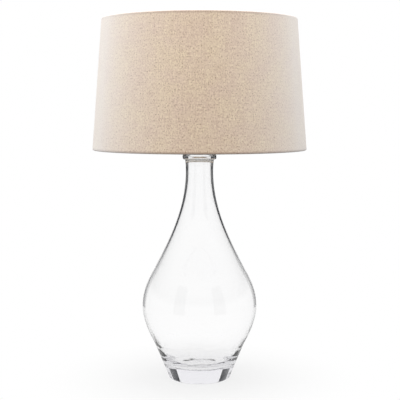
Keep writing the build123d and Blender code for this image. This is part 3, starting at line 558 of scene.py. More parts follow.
def woven_linen(settings):
    """Washed flax in a plain weave: uneven yarns, stalk flecks, painted shade in a band along each turned
    edge, and a painted sheen that pales its colour at grazing angles.
    """
    material, tree, shader, place = new_material("woven_linen")
    cloth = place["UV"]  # metres round and up the cloth
    weave = maths(tree, "MULTIPLY", *[
        add_node(
            tree, "TexWave",
            {"Vector": cloth, "Scale": pi / 10 / settings.thread, "Distortion": 1.5, "Detail": 2.0,
             "Detail Scale": 2.0, "Detail Roughness": 0.6},
            wave_type="BANDS", bands_direction=direction, wave_profile="SIN",
        )[1]
        for direction in "XY"
    ])

    def uneven_yarn(across, up):
        """Thick and thin places of that size, round and up the cloth."""
        lie = add_node(tree, "Mapping", {"Vector": cloth, "Scale": (1 / across, 1 / up, 1)})
        return clouds(tree, lie[0], 1.0)

    # slubs: long thick and thin stretches of yarn, up the cloth and round it
    slubs = mixed(
        tree, 0.45, uneven_yarn(2.5 * MM, 40 * MM), uneven_yarn(25 * MM, 2.5 * MM), kind="FLOAT"
    )
    # grain: single thick and thin places in the yarns
    uneven = mixed(tree, 0.62, slubs, uneven_yarn(2 * MM, 4 * MM), kind="FLOAT")
    tint = settings.linen_colour
    yarn = ramp(tree, uneven, (0.3, scaled(tint, 0.68)), (0.7, scaled(tint, 1.26)))
    # bundles of flax that took the wash a little differently, in clouds 45 mm across
    washed = ramp(
        tree, clouds(tree, cloth, 45 * MM), (0.35, linear("#FBF7F9")), (0.65, linear("#FFFEFA"))
    )
    clouded = mixed(tree, 1.0, yarn, washed, blend_type="MULTIPLY")
    # flecks: bits of stalk 2 mm long, some four to the square centimetre
    fleck = ranged(tree, clouds(tree, cloth, 2.4 * MM, 1.0), 0.6, 0.7, 0.0, 0.75)
    flecked = mixed(tree, fleck, clouded, (*settings.fleck_colour, 1))
    # painted shade: a band along the top and bottom edges, the width of a ring, is made darker
    up = add_node(tree, "SeparateXYZ", {"Vector": cloth})[1]
    edge = maths(tree, "MAXIMUM", *[
        ranged(tree, up, level - way * fade, level - way * 3 * MM)
        for level, way, fade in (
            (high("shade_fabric").z, 1, 6.5 * MM), (low("shade_fabric").z, -1, 5 * MM),
        )
    ])
    darker = mixed(tree, 1.0, flecked, opaque("#DCD6D6"), blend_type="MULTIPLY")
    edge_shaded = mixed(tree, edge, flecked, darker)
    # painted sheen: the yarn's colour is mixed towards white the more aslant the cloth is seen
    aslant = add_node(tree, "LayerWeight", {"Blend": 0.5})["Facing"]
    painted_sheen_share = ranged(tree, aslant, 0, 0.65, 0.0, settings.painted_sheen)
    feed(tree, shader, {
        "Base Color": mixed(tree, painted_sheen_share, edge_shaded, opaque("#FBFAF9")),
        "Normal": relief(tree, maths(tree, "ADD", weave, uneven), 0.5, 0.3 * MM),
        "Roughness": 0.9, "Specular IOR Level": 0.2,
        "Sheen Weight": 0.3, "Sheen Roughness": 0.5, "Sheen Tint": opaque("#FFFFFF"),
    })
    return material


def make_finishes(shade):
    """Every material, by the record's slot that it finishes."""
    FINISHES.update(
        clear_glass=clear_glass(),
        linen=woven_linen(shade),
        # nickel plate with a satin brush, warm grey, its strokes round the lamp
        satin_nickel=metal("satin_nickel_plate", "#C9C4BA", 0.26, 0.4 * MM, (1, 1, 4)),
        # zinc plate straight from the barrel, a little blue
        zinc_steel=metal("bright_zinc_plate", "#B9BFC6", 0.32, 0.8 * MM),
        # rolled brass, unlacquered
        brass=metal("rolled_brass", "#C9A45C", 0.24, 0.5 * MM, (1, 1, 3)),
        # rolled aluminium of the bulb's base
        aluminium=metal("rolled_aluminium", "#D5D6D8", 0.3, 0.5 * MM, (1, 1, 3)),
        # compression-moulded phenolic, near black
        phenolic=moulded("moulded_phenolic", "#1B1715", 0.35, 0.6 * MM),
        # glossy black thermoset of the knob and bushing
        black_plastic=moulded("black_urea_resin", "#121214", 0.28, 0.5 * MM),
        # pressed paper insulator, matt and fibrous
        fibre_board=moulded("pressed_paper", "#A58C68", 0.85, 0.3 * MM),
        # cured silicone, milky and half clear
        clear_sealant=moulded("cured_silicone", "#DDE0DF", 0.4, 1 * MM, transmission=0.5),
        # white styrene sheet, satin
        white_liner=moulded("white_styrene_sheet", "#F1EEE8", 0.55, 0.8 * MM),
        # white enamel sprayed on steel wire, glossy
        white_wire=moulded("white_wire_enamel", "#EFECE6", 0.3, 0.7 * MM),
        # bulb glass, etched white inside
        frosted_glass=moulded("frosted_bulb_glass", "#F6F5F1", 0.25, 1.5 * MM, transmission=0.15),
    )


# ---------------------------------------------------------------- bottle

# How far each curve of the bottle's side keeps its direction at its ends
CONE_HOLD = 6 * MM
BELLY_HOLDS = (35 * MM, 31 * MM)  # below and above
SHOULDER_HOLDS = (17 * MM, 66 * MM)
NECK_HOLD = 70 * MM
SHOULDER_LEAN = radians(27.4)
FLOOR_HOLD = 20 * MM
HEEL_HOLD = 28 * MM
CALM = 80 * MM  # above the floor, where the inner wall has become even
SWELLS = ((1, 26), (0.6, 75), (0.3, 170))  # of that wall: share of its waviness, and swells per metre


def blown_bottle(settings):
    """The bottle as one closed skin: outside, lip, bore, and an inner wall that wanders."""
    cone_z = settings.cone_rise
    belly_z = cone_z + settings.belly_rise
    shoulder_z = belly_z + settings.shoulder_rise
    neck_z = shoulder_z + settings.neck_rise
    lip_z = settings.height - settings.lip_depth
    way = Vector((settings.cone_radius - settings.foot_radius, cone_z)).normalized()
    lean = Vector((-sin(SHOULDER_LEAN), cos(SHOULDER_LEAN)))
    up = Vector((0, 1))

    def side(cone, belly, shoulder, neck):
        """One face of the wall from the cone's top to the neck, through those radii."""
        below, above = BELLY_HOLDS
        into, out = SHOULDER_HOLDS
        return (
            bend((cone, cone_z), way * CONE_HOLD, up * below, (belly, belly_z), 18)
            + bend((belly, belly_z), up * above, lean * into, (shoulder, shoulder_z), 18)
            + bend((shoulder, shoulder_z), lean * out, up * NECK_HOLD, (neck, neck_z), 36)
        )

    rounding = settings.foot_rounding
    foot_edge = Vector((settings.foot_radius, 0)) + way * rounding
    foot = bend(
        (settings.foot_radius - rounding, 0), (rounding / 2, 0), way * rounding / 2, foot_edge, 6
    )
    cone_top = Vector((settings.cone_radius, cone_z))
    cone = [tuple(foot_edge.lerp(cone_top, step / 14)) for step in range(1, 15)]
    outside = side(
        settings.cone_radius, settings.belly_radius, settings.shoulder_radius, settings.neck_radius
    )
    flare = bend(
        (settings.neck_radius, neck_z), (0, (lip_z - neck_z) / 2), (settings.flare / 2, 0),
        (settings.neck_radius + settings.flare, lip_z), 10,
    )
    lip_middle = settings.lip_radius - settings.lip_rounding
    lip = (
        arc((lip_middle, lip_z + settings.lip_rounding), settings.lip_rounding, -90, 0, 8)
        + arc((lip_middle, settings.height - settings.lip_rounding), settings.lip_rounding, 0, 90, 8)
    )
    bore = settings.neck_radius - settings.neck_wall
    heel = settings.cone_radius - settings.heel_wall
    inner_floor = settings.floor_radius
    heel_side = bend(
        (inner_floor, settings.floor), (FLOOR_HOLD, 0), way * HEEL_HOLD, (heel, cone_z), 24
    )
    inside = side(
        heel, settings.belly_radius - settings.belly_wall,
        settings.shoulder_radius - settings.shoulder_wall, bore,
    )
    floor_run = [(inner_floor * step / 12, settings.floor) for step in range(13)]
    cavity = [*floor_run, *heel_side, *inside, (bore, settings.height)]
    depth = settings.punt_depth
    sphere = (settings.punt_radius**2 + depth**2) / (2 * depth)
    punt_turn = degrees(asin(settings.punt_radius / sphere))
    punt = arc((0, depth - sphere), sphere, 90, 90 - punt_turn, 10)
    punt[0] = (0, depth)
    outline = [
        *punt, (settings.foot_radius - rounding, 0), *foot, *cone, *outside, *flare, *lip,
        *reversed(cavity),
    ]
    mesh = spun(outline, WIDE_FLATS)
    wander(mesh, settings, cavity)
    return mesh


def wander(mesh, settings, cavity):
    """Moves the inner wall a little in and out, most where the glass is thick, none in the neck."""
    inner = {(round(radius, 6), round(height, 6)) for radius, height in cavity}
    for corner in mesh.verts:
        radius = hypot(corner.co.x, corner.co.y)
        if (round(radius, 6), round(corner.co.z, 6)) not in inner or radius < 1 * MM:
            continue
        share = max(0, 1 - max(0, corner.co.z - settings.floor) / CALM)
        swell = sum(size * noise.noise(corner.co * rate) for size, rate in SWELLS)
        push = settings.waviness * swell * share
        if corner.co.z < settings.floor + 1 * MM:
            corner.co.z += push * 0.8
        else:
            push_out(corner, push)


class LAMP_OT_bottle(bpy.types.Operator):
    """Blown glass bottle with its rolled lip"""

    bl_idname = "lamp.bottle"
    bl_label = "Bottle"

    def execute(self, context):
        mesh = blown_bottle(context.scene.lamp_bottle)
        piece_from(mesh, "blown_bottle", "lamp", "glass_body", crease=60)
        return {"FINISHED"}


# ---------------------------------------------------------------- cap, harp and finial


class LAMP_OT_neck_cap(bpy.types.Operator):
    """Spun cap on the lip, its bead of sealant, and the threaded nipple through it"""

    bl_idname = "lamp.neck_cap"
    bl_label = "Neck cap"

    def execute(self, context):
        settings = context.scene.lamp_fittings
        foot, top = levels("neck_cap")
        edge = high("neck_cap").x
        nipple = high("lamp_nipple")
        sheet, flat = settings.cap_sheet, settings.cap_top

        def dome(radius, foot, top):
            """From the brim up and in to the flat top."""
            start, hold = (radius, foot), 0.6
            rise, reach = (top - foot) * hold, (flat - radius) * hold
            return [start, *bend(start, (0, rise), (reach, 0), (flat, top), 16)]

        shoulder = edge - settings.cap_brim
        hole = nipple.x + PLAY
        cap = [
            (edge, foot), (edge, foot + sheet), *dome(shoulder, foot + sheet, top), (hole, top),
            (hole, top - sheet), *reversed(dome(shoulder - sheet, foot, top - sheet)),
        ]
        piece_from(turned(cap, CAP_FLATS), "spun_cap", "lamp", "neck_cap")
        seal_low, seal_high = levels("cap_bedding")
        half, bulge = (seal_high - seal_low) / 2, (seal_high - seal_low) / 3
        bottle = context.scene.lamp_bottle
        inner = bottle.neck_radius - bottle.neck_wall + 2 * MM
        seal = (
            arc((edge - bulge, seal_low + half), (bulge, half), -90, 90, 6)
            + arc((inner, seal_low + half), half, 90, 270, 6)
        )
        piece_from(spun(seal, MAIN_FLATS), "sealant_bead", "lamp", "cap_bedding")
        bottom = low("lamp_nipple").z
        nipple_bore = settings.nipple_bore
        thread = thread_side(nipple.x, 0.5 * MM, bottom + 2 * EDGE, nipple.z, settings.pipe_pitch, 4)
        pipe = [
            (nipple_bore, bottom), (nipple.x - 2 * EDGE, bottom), *thread,
            (nipple.x - 2 * EDGE, nipple.z), (nipple_bore, nipple.z),
        ]
        piece_from(spun(pipe, SMALL_FLATS), "threaded_nipple", "lamp", "lamp_nipple")
        return {"FINISHED"}


def harp_side(settings):
    """Points up the right half of the harp: straight foot, out, upright again, and over to the eye."""
    leg = settings.leg_spacing / 2
    half = settings.harp_width / 2
    foot = low("harp").z
    eye = low("shade_spider").z - settings.seat - settings.eye_thickness / 2
    lean = settings.lean
    lean_radius = (half - leg) / (1 - cos(lean)) / 2
    rise = eye - (foot + settings.leg_straight + 2 * lean_radius * sin(lean))
    share = 1 - cos(lean) - sin(lean)
    side_radius = (half * (1 - sin(lean)) - rise * cos(lean)) / share
    crown_radius = (rise * (1 - cos(lean)) - half * sin(lean)) / share
    place, heading = Vector((leg, 0, foot)), pi / 2
    points = [place.copy()]
    place.z += settings.leg_straight
    points.append(place.copy())
    for radius, turn in (
        (lean_radius, -lean), (lean_radius, lean), (side_radius, lean), (crown_radius, pi / 2 - lean),
    ):
        steps = round(degrees(abs(turn)) / 3)
        chord = 2 * radius * sin(abs(turn) / steps / 2)
        for step in range(steps):
            heading += turn / steps / 2
            place += Vector((cos(heading), 0, sin(heading))) * chord
            heading += turn / steps / 2
            points.append(place.copy())
    return points


def wire_harp(settings):
    """Steel wire harp: two halves that are flattened into one round eye at the top."""
    points = harp_side(settings)
    eye = points[-1].z
    rim = settings.eye - settings.wire / 2
    mesh = bmesh.new()
    for side in (-1, 1):
        run = [(side * point.x, 0, point.z) for point in points if point.x > rim]
        add_wire(mesh, [*run, (side * rim, 0, eye)], settings.wire)
    flat = settings.eye_thickness / 2
    for corner in mesh.verts:
        if abs(corner.co.x) < 2 * settings.eye and corner.co.z > eye - 2 * settings.wire:
            press = min(1, max(0, 2 - abs(corner.co.x) / settings.eye))
            limit = settings.wire + (flat - 0.1 * MM - settings.wire) * press
            corner.co.z = min(corner.co.z, eye + limit)
            if abs(corner.co.x) < settings.eye:
                corner.co.z = max(corner.co.z, eye - flat + 0.1 * MM)
    hole = settings.shank + PLAY
    return join(mesh, turned(oblong(hole, settings.eye, eye - flat, eye + flat), SMALL_FLATS, 3 * EDGE))


def saddle_strip(settings):
    """The saddle: one strip bent up at both ends, each end narrowed to a prong."""
    foot, top = levels("harp_saddle")
    sheet, leg = settings.saddle_sheet, settings.leg_spacing / 2
    outer, inner = leg + sheet / 2, leg - sheet / 2
    over = settings.saddle_bend
    under = over + sheet
    half = [
        *arc((outer - under, foot + under), under, -90, 0, 8), (outer, top), (inner, top),
        *arc((inner - over, foot + sheet + over), over, 0, -90, 8),
    ]
    wide, narrow = settings.saddle_width / 2, settings.prong_width / 2
    strip = slab([*half, *[(-x, z) for x, z in reversed(half)]], -wide, wide)
    shoulder, above = top - settings.prong_length, top + sheet
    beside = oblong(-2 * leg, 2 * leg, shoulder, above)
    hole = aimed(rod(high("lamp_nipple").x + PLAY, 3 * sheet), (0, 0, foot - sheet), (0, 0, 1))
    mesh = cut(strip, slab(beside, narrow, 2 * wide), slab(beside, -2 * wide, -narrow), hole)
    soften_edges(mesh)
    return mesh


def soften_edges(mesh, least=60):
    """Rounds the edges sharper than least degrees."""
    sharp = [
        edge for edge in mesh.edges
        if len(edge.link_faces) == 2 and edge.calc_face_angle(0) > radians(least)
    ]
    bmesh.ops.bevel(
        mesh, geom=sharp, offset=EDGE, segments=2, profile=0.5, affect="EDGES", material=-1,
        clamp_overlap=True,
    )


def stepped_stud(settings):
    """Riveted stud: rivet under the eye, shank through it, seat for the shade, and a cut thread."""
    foot, top = levels("harp_stud")
    eye = foot + settings.seat
    over = eye + settings.eye_thickness
    seat = over + settings.seat
    wide = high("harp_stud").x
    outline = [
        (0, foot), (settings.rivet, foot), (settings.rivet, eye), (settings.shank, eye),
        (settings.shank, over), (wide, over), (wide, seat), (settings.stud - 2 * EDGE, seat),
        *thread_side(settings.stud, 0.45 * MM, seat + EDGE, top - 2 * EDGE, settings.pipe_pitch, 4),
        (settings.stud - 2 * EDGE, top), (0, top),
    ]
    return turned(outline, SMALL_FLATS)


def ball_finial(settings):
    """Turned finial: foot, cove, waist and a ball, hollow for its threaded bush."""
    foot, top = levels("finial")
    wide, ball = high("finial").x, settings.finial_ball
    bush = high("finial_insert")
    waist_z = foot + settings.finial_waist_rise
    middle = top - ball
    start = degrees(asin((waist_z - middle) / ball))
    cove = bend(
        (wide - EDGE, foot + settings.finial_foot), (-2 * EDGE, 0), (0, 2 * EDGE),
        (settings.finial_waist, waist_z), 8,
    )
    bore = bush.x + PLAY / 2
    outline = [
        (0, bush.z + EDGE), (bore, bush.z + EDGE), (bore, foot), (wide, foot),
        (wide, foot + settings.finial_foot), *cove, *arc((0, middle), ball, start, 90, 28)[1:-1], (0, top),
    ]
    return turned(outline, MAIN_FLATS)


class LAMP_OT_harp(bpy.types.Operator):
    """Saddle, wire harp, its stud and the two sleeves that lock it"""

    bl_idname = "lamp.harp"
    bl_label = "Harp"

    def execute(self, context):
        settings = context.scene.lamp_fittings
        piece_from(saddle_strip(settings), "bent_saddle", "lamp", "harp_saddle")
        piece_from(wire_harp(settings), "wire_harp", "lamp", "harp")
        piece_from(stepped_stud(settings), "riveted_stud", "lamp", "harp_stud")
        inside = settings.wire + PLAY
        for side in ("left", "right"):
            node = f"{side}_harp_sleeve"
            foot, top = low(node), high(node)
            outside = (top.x - foot.x) / 2
            waist = outside - EDGE
            rise = (top.z - foot.z) / 7
            # a rolled bead at each end of the sleeve
            tube = [
                (inside, foot.z), (outside, foot.z), (outside, foot.z + rise), (waist, foot.z + 1.4 * rise),
                (waist, top.z - 1.4 * rise), (outside, top.z - rise), (outside, top.z), (inside, top.z),
            ]
            mesh = turned(tube, TINY_FLATS, least=10)
            bmesh.ops.translate(mesh, verts=mesh.verts[:], vec=((foot.x + top.x) / 2, 0, 0))
            piece_from(mesh, f"{side}_ferrule", f"{side}_sleeve", node)
        return {"FINISHED"}


class LAMP_OT_finial(bpy.types.Operator):
    """Turned ball finial"""

    bl_idname = "lamp.finial"
    bl_label = "Finial"

    def execute(self, context):
        settings = context.scene.lamp_fittings
        piece_from(ball_finial(settings), "ball_finial", "finial", "finial")
        return {"FINISHED"}


# ---------------------------------------------------------------- socket


def socket_cup(settings):
    """Drawn socket cap: threaded hub, dome, tapered wire chamber with its outlet, and the shell's cup."""
    foot, top = levels("socket_cap")
    wide = high("socket_cap").x
    hub_wall = 2.2 * MM
    bore = high("lamp_nipple").x + PLAY
    hub_top = foot + settings.hub_rise
    knot_z = hub_top + settings.dome_rise
    ledge_z = knot_z + settings.chamber_rise

    def side(shrink):
        """Outside of the cap from the hub up, drawn in by shrink for its inside."""
        hub = bore + hub_wall - shrink
        knot = wide - settings.ledge - shrink
        narrow = knot - settings.chamber_taper
        hub_z = hub_top + shrink
        level = ledge_z if shrink else ledge_z - settings.sheet
        dome = bend((hub, hub_z), ((narrow - hub) / 2, 0), (0, (knot_z - hub_z) / 2), (narrow, knot_z), 12)
        return [(hub, hub_z), *dome, (knot, level), (wide - shrink, level), (wide - shrink, top)]

    outline = [
        (bore, foot), (bore + hub_wall, foot), *side(0), *reversed(side(settings.sheet)),
        (bore, hub_top + settings.sheet),
    ]
    place, axis, *_ = outlet()
    hole = aimed(rod(settings.outlet_shank + PLAY / 2, wide), place - axis * settings.outlet_shank, axis)
    return cut(turned(outline, MAIN_FLATS), hole)


def outlet():
    """Middle, outward direction, and radius and length in metres, of the cord's outlet."""
    mount = next(row for row in frame["record"]["mounts"] if row["name"] == "cord_inlet")
    sizes = mount["dims"]
    return Vector(mount["pos_m"]), Vector(mount["axis"]), sizes["r_mm"] * MM, sizes["length_mm"] * MM


def cord_bushing(settings):
    """Moulded bushing with a rounded mouth, pushed into the outlet."""
    place, axis, bore, depth = outlet()
    half = depth / 2
    shank, flange = settings.outlet_shank, settings.outlet_flange
    step = half - settings.flange_thickness
    outline = [(bore, -half), (shank, -half), (shank, step), (flange, step), (flange, half), (bore, half)]
    return aimed(turned(outline, TINY_FLATS, 2 * EDGE), place, axis)


def slotted(outline, settings):
    """A tube of the socket, slotted from its foot up to clear the switch's stem."""
    tube = turned(outline, MAIN_FLATS, 0.5 * EDGE)
    level = sum(levels("switch_stem")) / 2
    slot = [
        (-settings.slot, low("socket_shell").z - EDGE), (settings.slot, low("socket_shell").z - EDGE),
        *arc((0, level), settings.slot, 0, 180, 16),
    ]
    return cut(tube, slab(slot, -high("socket_cap").x - settings.slot, 0))


class LAMP_OT_socket(bpy.types.Operator):
    """Lamp socket: cap with its outlet, bushing, beaded shell, insulating sleeve and threaded shell"""

    bl_idname = "lamp.socket"
    bl_label = "Socket"

    def execute(self, context):
        settings = context.scene.lamp_socket
        piece_from(socket_cup(settings), "drawn_socket_cap", "lamp", "socket_cap")
        piece_from(cord_bushing(settings), "moulded_bushing", "lamp", "cord_bushing")
        foot, top = levels("socket_shell")
        bead = settings.shell_bead
        radius = high("socket_shell").x - bead
        inside = radius - settings.shell_sheet
        crest = top - settings.bead_rise / 2
        shell = [
            (inside, foot), (radius, foot), (radius, top - settings.bead_rise),
            (radius + bead, crest - EDGE), (radius + bead, crest + EDGE), (radius, top), (inside, top),
        ]
        piece_from(slotted(shell, settings), "beaded_shell", "lamp", "socket_shell")
        outside, end = high("shell_liner").x, high("shell_liner").z
        sleeve = oblong(outside - settings.liner_sheet, outside, foot, end)
        piece_from(slotted(sleeve, settings), "paper_sleeve", "lamp", "shell_liner")
        bottom, rim = levels("screw_shell")
        wide = high("screw_shell").x
        sheet = 0.25 * MM
        outer = thread_side(wide, sheet, bottom + 2 * EDGE, rim, settings.lamp_pitch, 8)
        inner = [(across - sheet, up) for across, up in outer]
        floor = 7 * MM  # radius of the hole round the contact
        cup = [
            (floor, bottom), (wide - EDGE, bottom), *outer, *reversed(inner),
            (wide - 2 * EDGE, bottom + sheet), (floor, bottom + sheet),
        ]
        piece_from(spun(cup, MAIN_FLATS), "threaded_shell", "lamp", "screw_shell", crease=60)
        return {"FINISHED"}


class LAMP_OT_switch(bpy.types.Operator):
    """Fluted knob of the switch on its stem"""

    bl_idname = "lamp.switch"
    bl_label = "Switch"

    def execute(self, context):
        settings = context.scene.lamp_socket
        near, far = low("switch_knob"), high("switch_knob")
        level = (near.z + far.z) / 2
        radius, long = (far.z - near.z) / 2, far.y - near.y
        stem = settings.stem
        ledge = 5 * EDGE
        side = [
            (0, long / 2), (stem, long / 2), (stem, 0), (radius - ledge, 0), (radius, ledge),
            *[(radius, long * share / 10) for share in range(2, 9)],
            (radius - EDGE, long - 2 * ledge), (radius - ledge, long - EDGE), (0, long),
        ]
        knob = turned(side, KNOB_FLATS, 3 * EDGE)
        for corner in knob.verts:
            reach = hypot(corner.co.x, corner.co.y)
            if reach > radius - 2 * ledge:
                flute = max(0, cos(KNOB_FLUTES * atan2(corner.co.y, corner.co.x))) ** 2
                deep = settings.flutes * flute * min(1, (reach - radius + 2 * ledge) / ledge)
                push_out(corner, -deep)
        knob = aimed(knob, (0, far.y, level), (0, -1, 0))
        piece_from(knob, "fluted_knob", "switch", "switch_knob", crease=50)
        root, tip = high("switch_stem").y, low("switch_stem").y
        shaft = aimed(turned(oblong(0, stem, 0, root - tip), 40), (0, root, level), (0, -1, 0))
        piece_from(shaft, "turned_stem", "switch", "switch_stem")
        return {"FINISHED"}


class LAMP_OT_bulb(bpy.types.Operator):
    """Frosted bulb on a rolled screw base"""

    bl_idname = "lamp.bulb"
    bl_label = "Bulb"

    def execute(self, context):
        settings = context.scene.lamp_socket
        foot, top = levels("bulb_tip")
        radius = high("bulb_tip").x
        drop = bend((0, foot), (radius * 0.6, 0), (0, 2 * EDGE), (radius, top - EDGE), 8)
        solder = [(0, foot), *drop, (radius, top), (0, top)]
        piece_from(spun(solder, TINY_FLATS), "solder_tip", "bulb_contact", "bulb_tip")
        bottom, base = levels("bulb_insulator")
        wide = high("bulb_insulator").x
        flank = bend((radius, bottom), (EDGE, 0), (2 * MM, EDGE), (wide - EDGE, base - EDGE), 8)
        cone = [(0, bottom), (radius, bottom), *flank, (wide - EDGE, base), (0, base)]
        piece_from(spun(cone, SMALL_FLATS), "glass_insulator", "bulb", "bulb_insulator")
        rim = high("bulb_base").z
        seat = low("bulb_globe").z
        sheet = 0.4 * MM
        wall = settings.bulb_wall
        thread = thread_side(wide, settings.lamp_depth, base + EDGE, seat - 2 * EDGE, settings.lamp_pitch, 8)
        inside = wide - settings.lamp_depth - sheet
        skirt = [
            (inside, base), (wide - settings.lamp_depth, base), *thread, (wide, seat), (wide, rim),
            (wide - sheet, rim), (wide - sheet, seat), (inside, seat - EDGE),
        ]
        piece_from(spun(skirt, MAIN_FLATS), "rolled_screw_base", "bulb", "bulb_base", crease=60)
        crown, belly = high("bulb_globe").z, high("bulb_globe").x
        neck = wide - sheet - PLAY
        middle = crown - belly

        def side(shrink):
            """One face of the glass, drawn in by shrink for its inside."""
            flank = bend((neck - shrink, rim), (0, 24 * MM), (0, 17 * MM), (belly - shrink, middle), 24)
            cap = arc((0, middle), belly - shrink, 0, 90, 28)[1:-1]
            return [(neck - shrink, seat), (neck - shrink, rim), *flank, *cap]

        globe = [(0, crown - wall), *reversed(side(wall)), *side(0), (0, crown)]
        piece_from(spun(globe, MAIN_FLATS), "frosted_globe", "bulb", "bulb_globe", crease=60)
        return {"FINISHED"}


# ---------------------------------------------------------------- shade


SLACK_RATE = (11, 11, 7)  # how fast the linen's slack changes, per metre


class Wall:
    """The slanted wall of the shade, as points by depth from the outside and height from the lower edge."""

    def __init__(self, settings):
        self.bottom, top = levels("shade_fabric")
        self.height = top - self.bottom
        self.settings = settings

    def point(self, depth, height):
        """Radius and level of a point of the wall."""
        narrowing = self.settings.bottom_radius - self.settings.top_radius
        outside = self.settings.bottom_radius - narrowing * height / self.height
        return (outside - depth, self.bottom + height)


def linen_skin(settings):
    """The linen in section: wall, a roll round each ring, and a hem turned down inside."""
    wall = Wall(settings)
    top = wall.height
    back = settings.linen * 2 + settings.liner + 4 * PLAY + 2 * settings.ring_radius
    face = back - settings.linen
    drop = settings.linen + PLAY + settings.ring_radius
    middle = back / 2
    inner_reach = (middle - settings.linen, drop - settings.linen)
    hem, run = settings.hem - drop, 64

    def rolled(height, reach, start, end):
        """Part of the roll round a ring."""
        return [
            wall.point(middle - across, height + up)
            for across, up in arc((0, 0), reach, start, end, 10)
        ]

    climb = [drop + (top - 2 * drop) * step / run for step in range(1, run)]
    outer = (middle, drop)
    outline = (
        [wall.point(back, drop + hem * (1 - step / 4)) for step in range(4)]
        + rolled(drop, outer, -180, 0)
        + [wall.point(0, height) for height in climb]
        + rolled(top - drop, outer, 0, 180)
        + [wall.point(back, top - drop - hem * step / 4) for step in range(1, 5)]
        + [wall.point(face, top - drop - hem * (1 - step / 4)) for step in range(4)]
        + rolled(top - drop, inner_reach, 180, 0)
        + [wall.point(settings.linen, height) for height in reversed(climb)]
        + rolled(drop, inner_reach, 0, -180)
        + [wall.point(face, drop + hem * step / 4) for step in range(1, 5)]
    )
    mesh = spun(outline, LINEN_FLATS)
    # between the rings the cloth stands off a little, here and there
    for corner in mesh.verts:
        height = corner.co.z - wall.bottom
        share = max(0, min(height, top - height) / top * 2)
        slack = noise.noise(corner.co * Vector(SLACK_RATE))
        push_out(corner, slack * settings.slack * share)
    return mesh


def seam_strip(settings):
    """The lap at the back, where one end of the linen is folded and glued over the other."""
    wall = Wall(settings)
    mesh = bmesh.new()
    bmesh.ops.create_cube(mesh, size=1)
    for axis, cuts in (("z", 40), ("x", 7)):
        along = [
            edge for edge in mesh.edges
            if abs(getattr(edge.verts[0].co - edge.verts[1].co, axis)) > 0.5
        ]
        bmesh.ops.subdivide_edges(mesh, edges=along, cuts=cuts)
    gap, rise = 2.2 * MM, 0.4 * MM
    for corner in mesh.verts:
        outer = corner.co.y > 0
        height = gap + (corner.co.z + 0.5) * (wall.height - 2 * gap)
        uneven = noise.noise(Vector((corner.co.z * 14, corner.co.x, 3))) * rise
        inner_part = abs(corner.co.x) < 0.49
        depth = (-rise if inner_part else 0.15 * MM) if outer else 0.3 * MM
        radius, level = wall.point(depth, height)
        turn = pi / 2 - (corner.co.x * settings.seam + uneven) / radius
        corner.co = (radius * cos(turn), radius * sin(turn), level)
    tidy(mesh)
    return mesh


def lay_cloth(piece, settings):
    """Gives a piece of the shade a map in metres: round the shade, and up its wall."""
    data = piece.data
    layer = data.uv_layers.new(name="cloth")
    mean = (settings.bottom_radius + settings.top_radius) / 2
    for face in data.polygons:
        middle = atan2(face.center.x, -face.center.y)
        for loop in face.loop_indices:
            place = data.vertices[data.loops[loop].vertex_index].co
            turn = atan2(place.x, -place.y)
            turn += tau * round((middle - turn) / tau)
            layer.data[loop].uv = (turn * mean, place.z)


def spider(ring, settings):
    """Hub and three wire arms that bend up to the top ring, with a weld bead at each end."""
    seat = low("shade_spider").z
    wire = settings.arm_wire
    level = seat + wire
    mesh = turned(oblong(settings.hub_hole, settings.hub, seat, seat + 2 * wire), SMALL_FLATS, 1.2 * EDGE)
    knee = ring[0] - settings.knee
    end = ring[0] - settings.ring_radius - EDGE
    run, hold = 5 * MM, 3 * MM  # of the bend
    start = settings.hub - run / 2
    rise = Vector((end - knee, ring[1] - level)).normalized()
    corner = Vector((knee, level))
    bent = bend(corner - Vector((run, 0)), (hold, 0), rise * hold, corner + rise * run, 6)
    line = [(start, level), (knee - run, level), *bent, (end, ring[1])]
    for turn in (radians(90), radians(210), radians(330)):
        way = Vector((cos(turn), sin(turn), 0))
        add_wire(mesh, [way * across + Vector((0, 0, height)) for across, height in line], wire)
        bead = bmesh.ops.create_uvsphere(mesh, u_segments=14, v_segments=8, radius=1.4 * wire)
        bmesh.ops.translate(mesh, verts=bead["verts"], vec=way * end + Vector((0, 0, ring[1])))
    return mesh


class LAMP_OT_linen(bpy.types.Operator):
    """Linen skin of the shade, rolled over both rings and lapped at the back"""

    bl_idname = "lamp.linen"
    bl_label = "Linen"

    def execute(self, context):
        settings = context.scene.lamp_shade
        mesh = join(linen_skin(settings), seam_strip(settings))
        skin = piece_from(mesh, "linen_skin", "shade", "shade_fabric", crease=70)
        lay_cloth(skin, settings)
        return {"FINISHED"}


class LAMP_OT_shade_frame(bpy.types.Operator):
    """Liner, wire rings and spider of the shade"""

    bl_idname = "lamp.shade_frame"
    bl_label = "Shade frame"

    def execute(self, context):
        settings = context.scene.lamp_shade
        wall = Wall(settings)
        face = settings.linen + PLAY
        back = face + settings.liner
        sheet = [wall.point(*corner) for corner in oblong(face, back, face, wall.height - face)]
        piece_from(spun(sheet, WIDE_FLATS), "liner_sheet", "shade", "shade_liner")
        depth = back + PLAY + settings.ring_radius
        drop = face + settings.ring_radius
        for name, height in (("bottom", drop), ("top", wall.height - drop)):
            wire = arc(wall.point(depth, height), settings.ring_radius, 0, 360, 14)[:-1]
            piece_from(spun(wire, WIDE_FLATS), f"{name}_wire_ring", "shade", f"shade_{name}_ring")
        ring = wall.point(depth, wall.height - drop)
        piece_from(spider(ring, settings), "spider_fitter", "shade", "shade_spider")
        return {"FINISHED"}


# ---------------------------------------------------------------- stage

DUSK = "#2B2D31"  # the room beside and behind the camera, which the edges of the glass gather
NEAR, FAR = 0.1, 0.9  # metres from the lamp: where the floor starts to show some dusk, and shows most
SHADOW_REACH = (0.1, 0.32)  # metres: the floor shows its shadow inside, and is plain white outside
FLOOR_GLOW = 0.8  # share of the floor's white that is its own near the lamp
RETURN_REACH = (0.8, 1.6)  # metres: the floor gives the cloth little light back inside

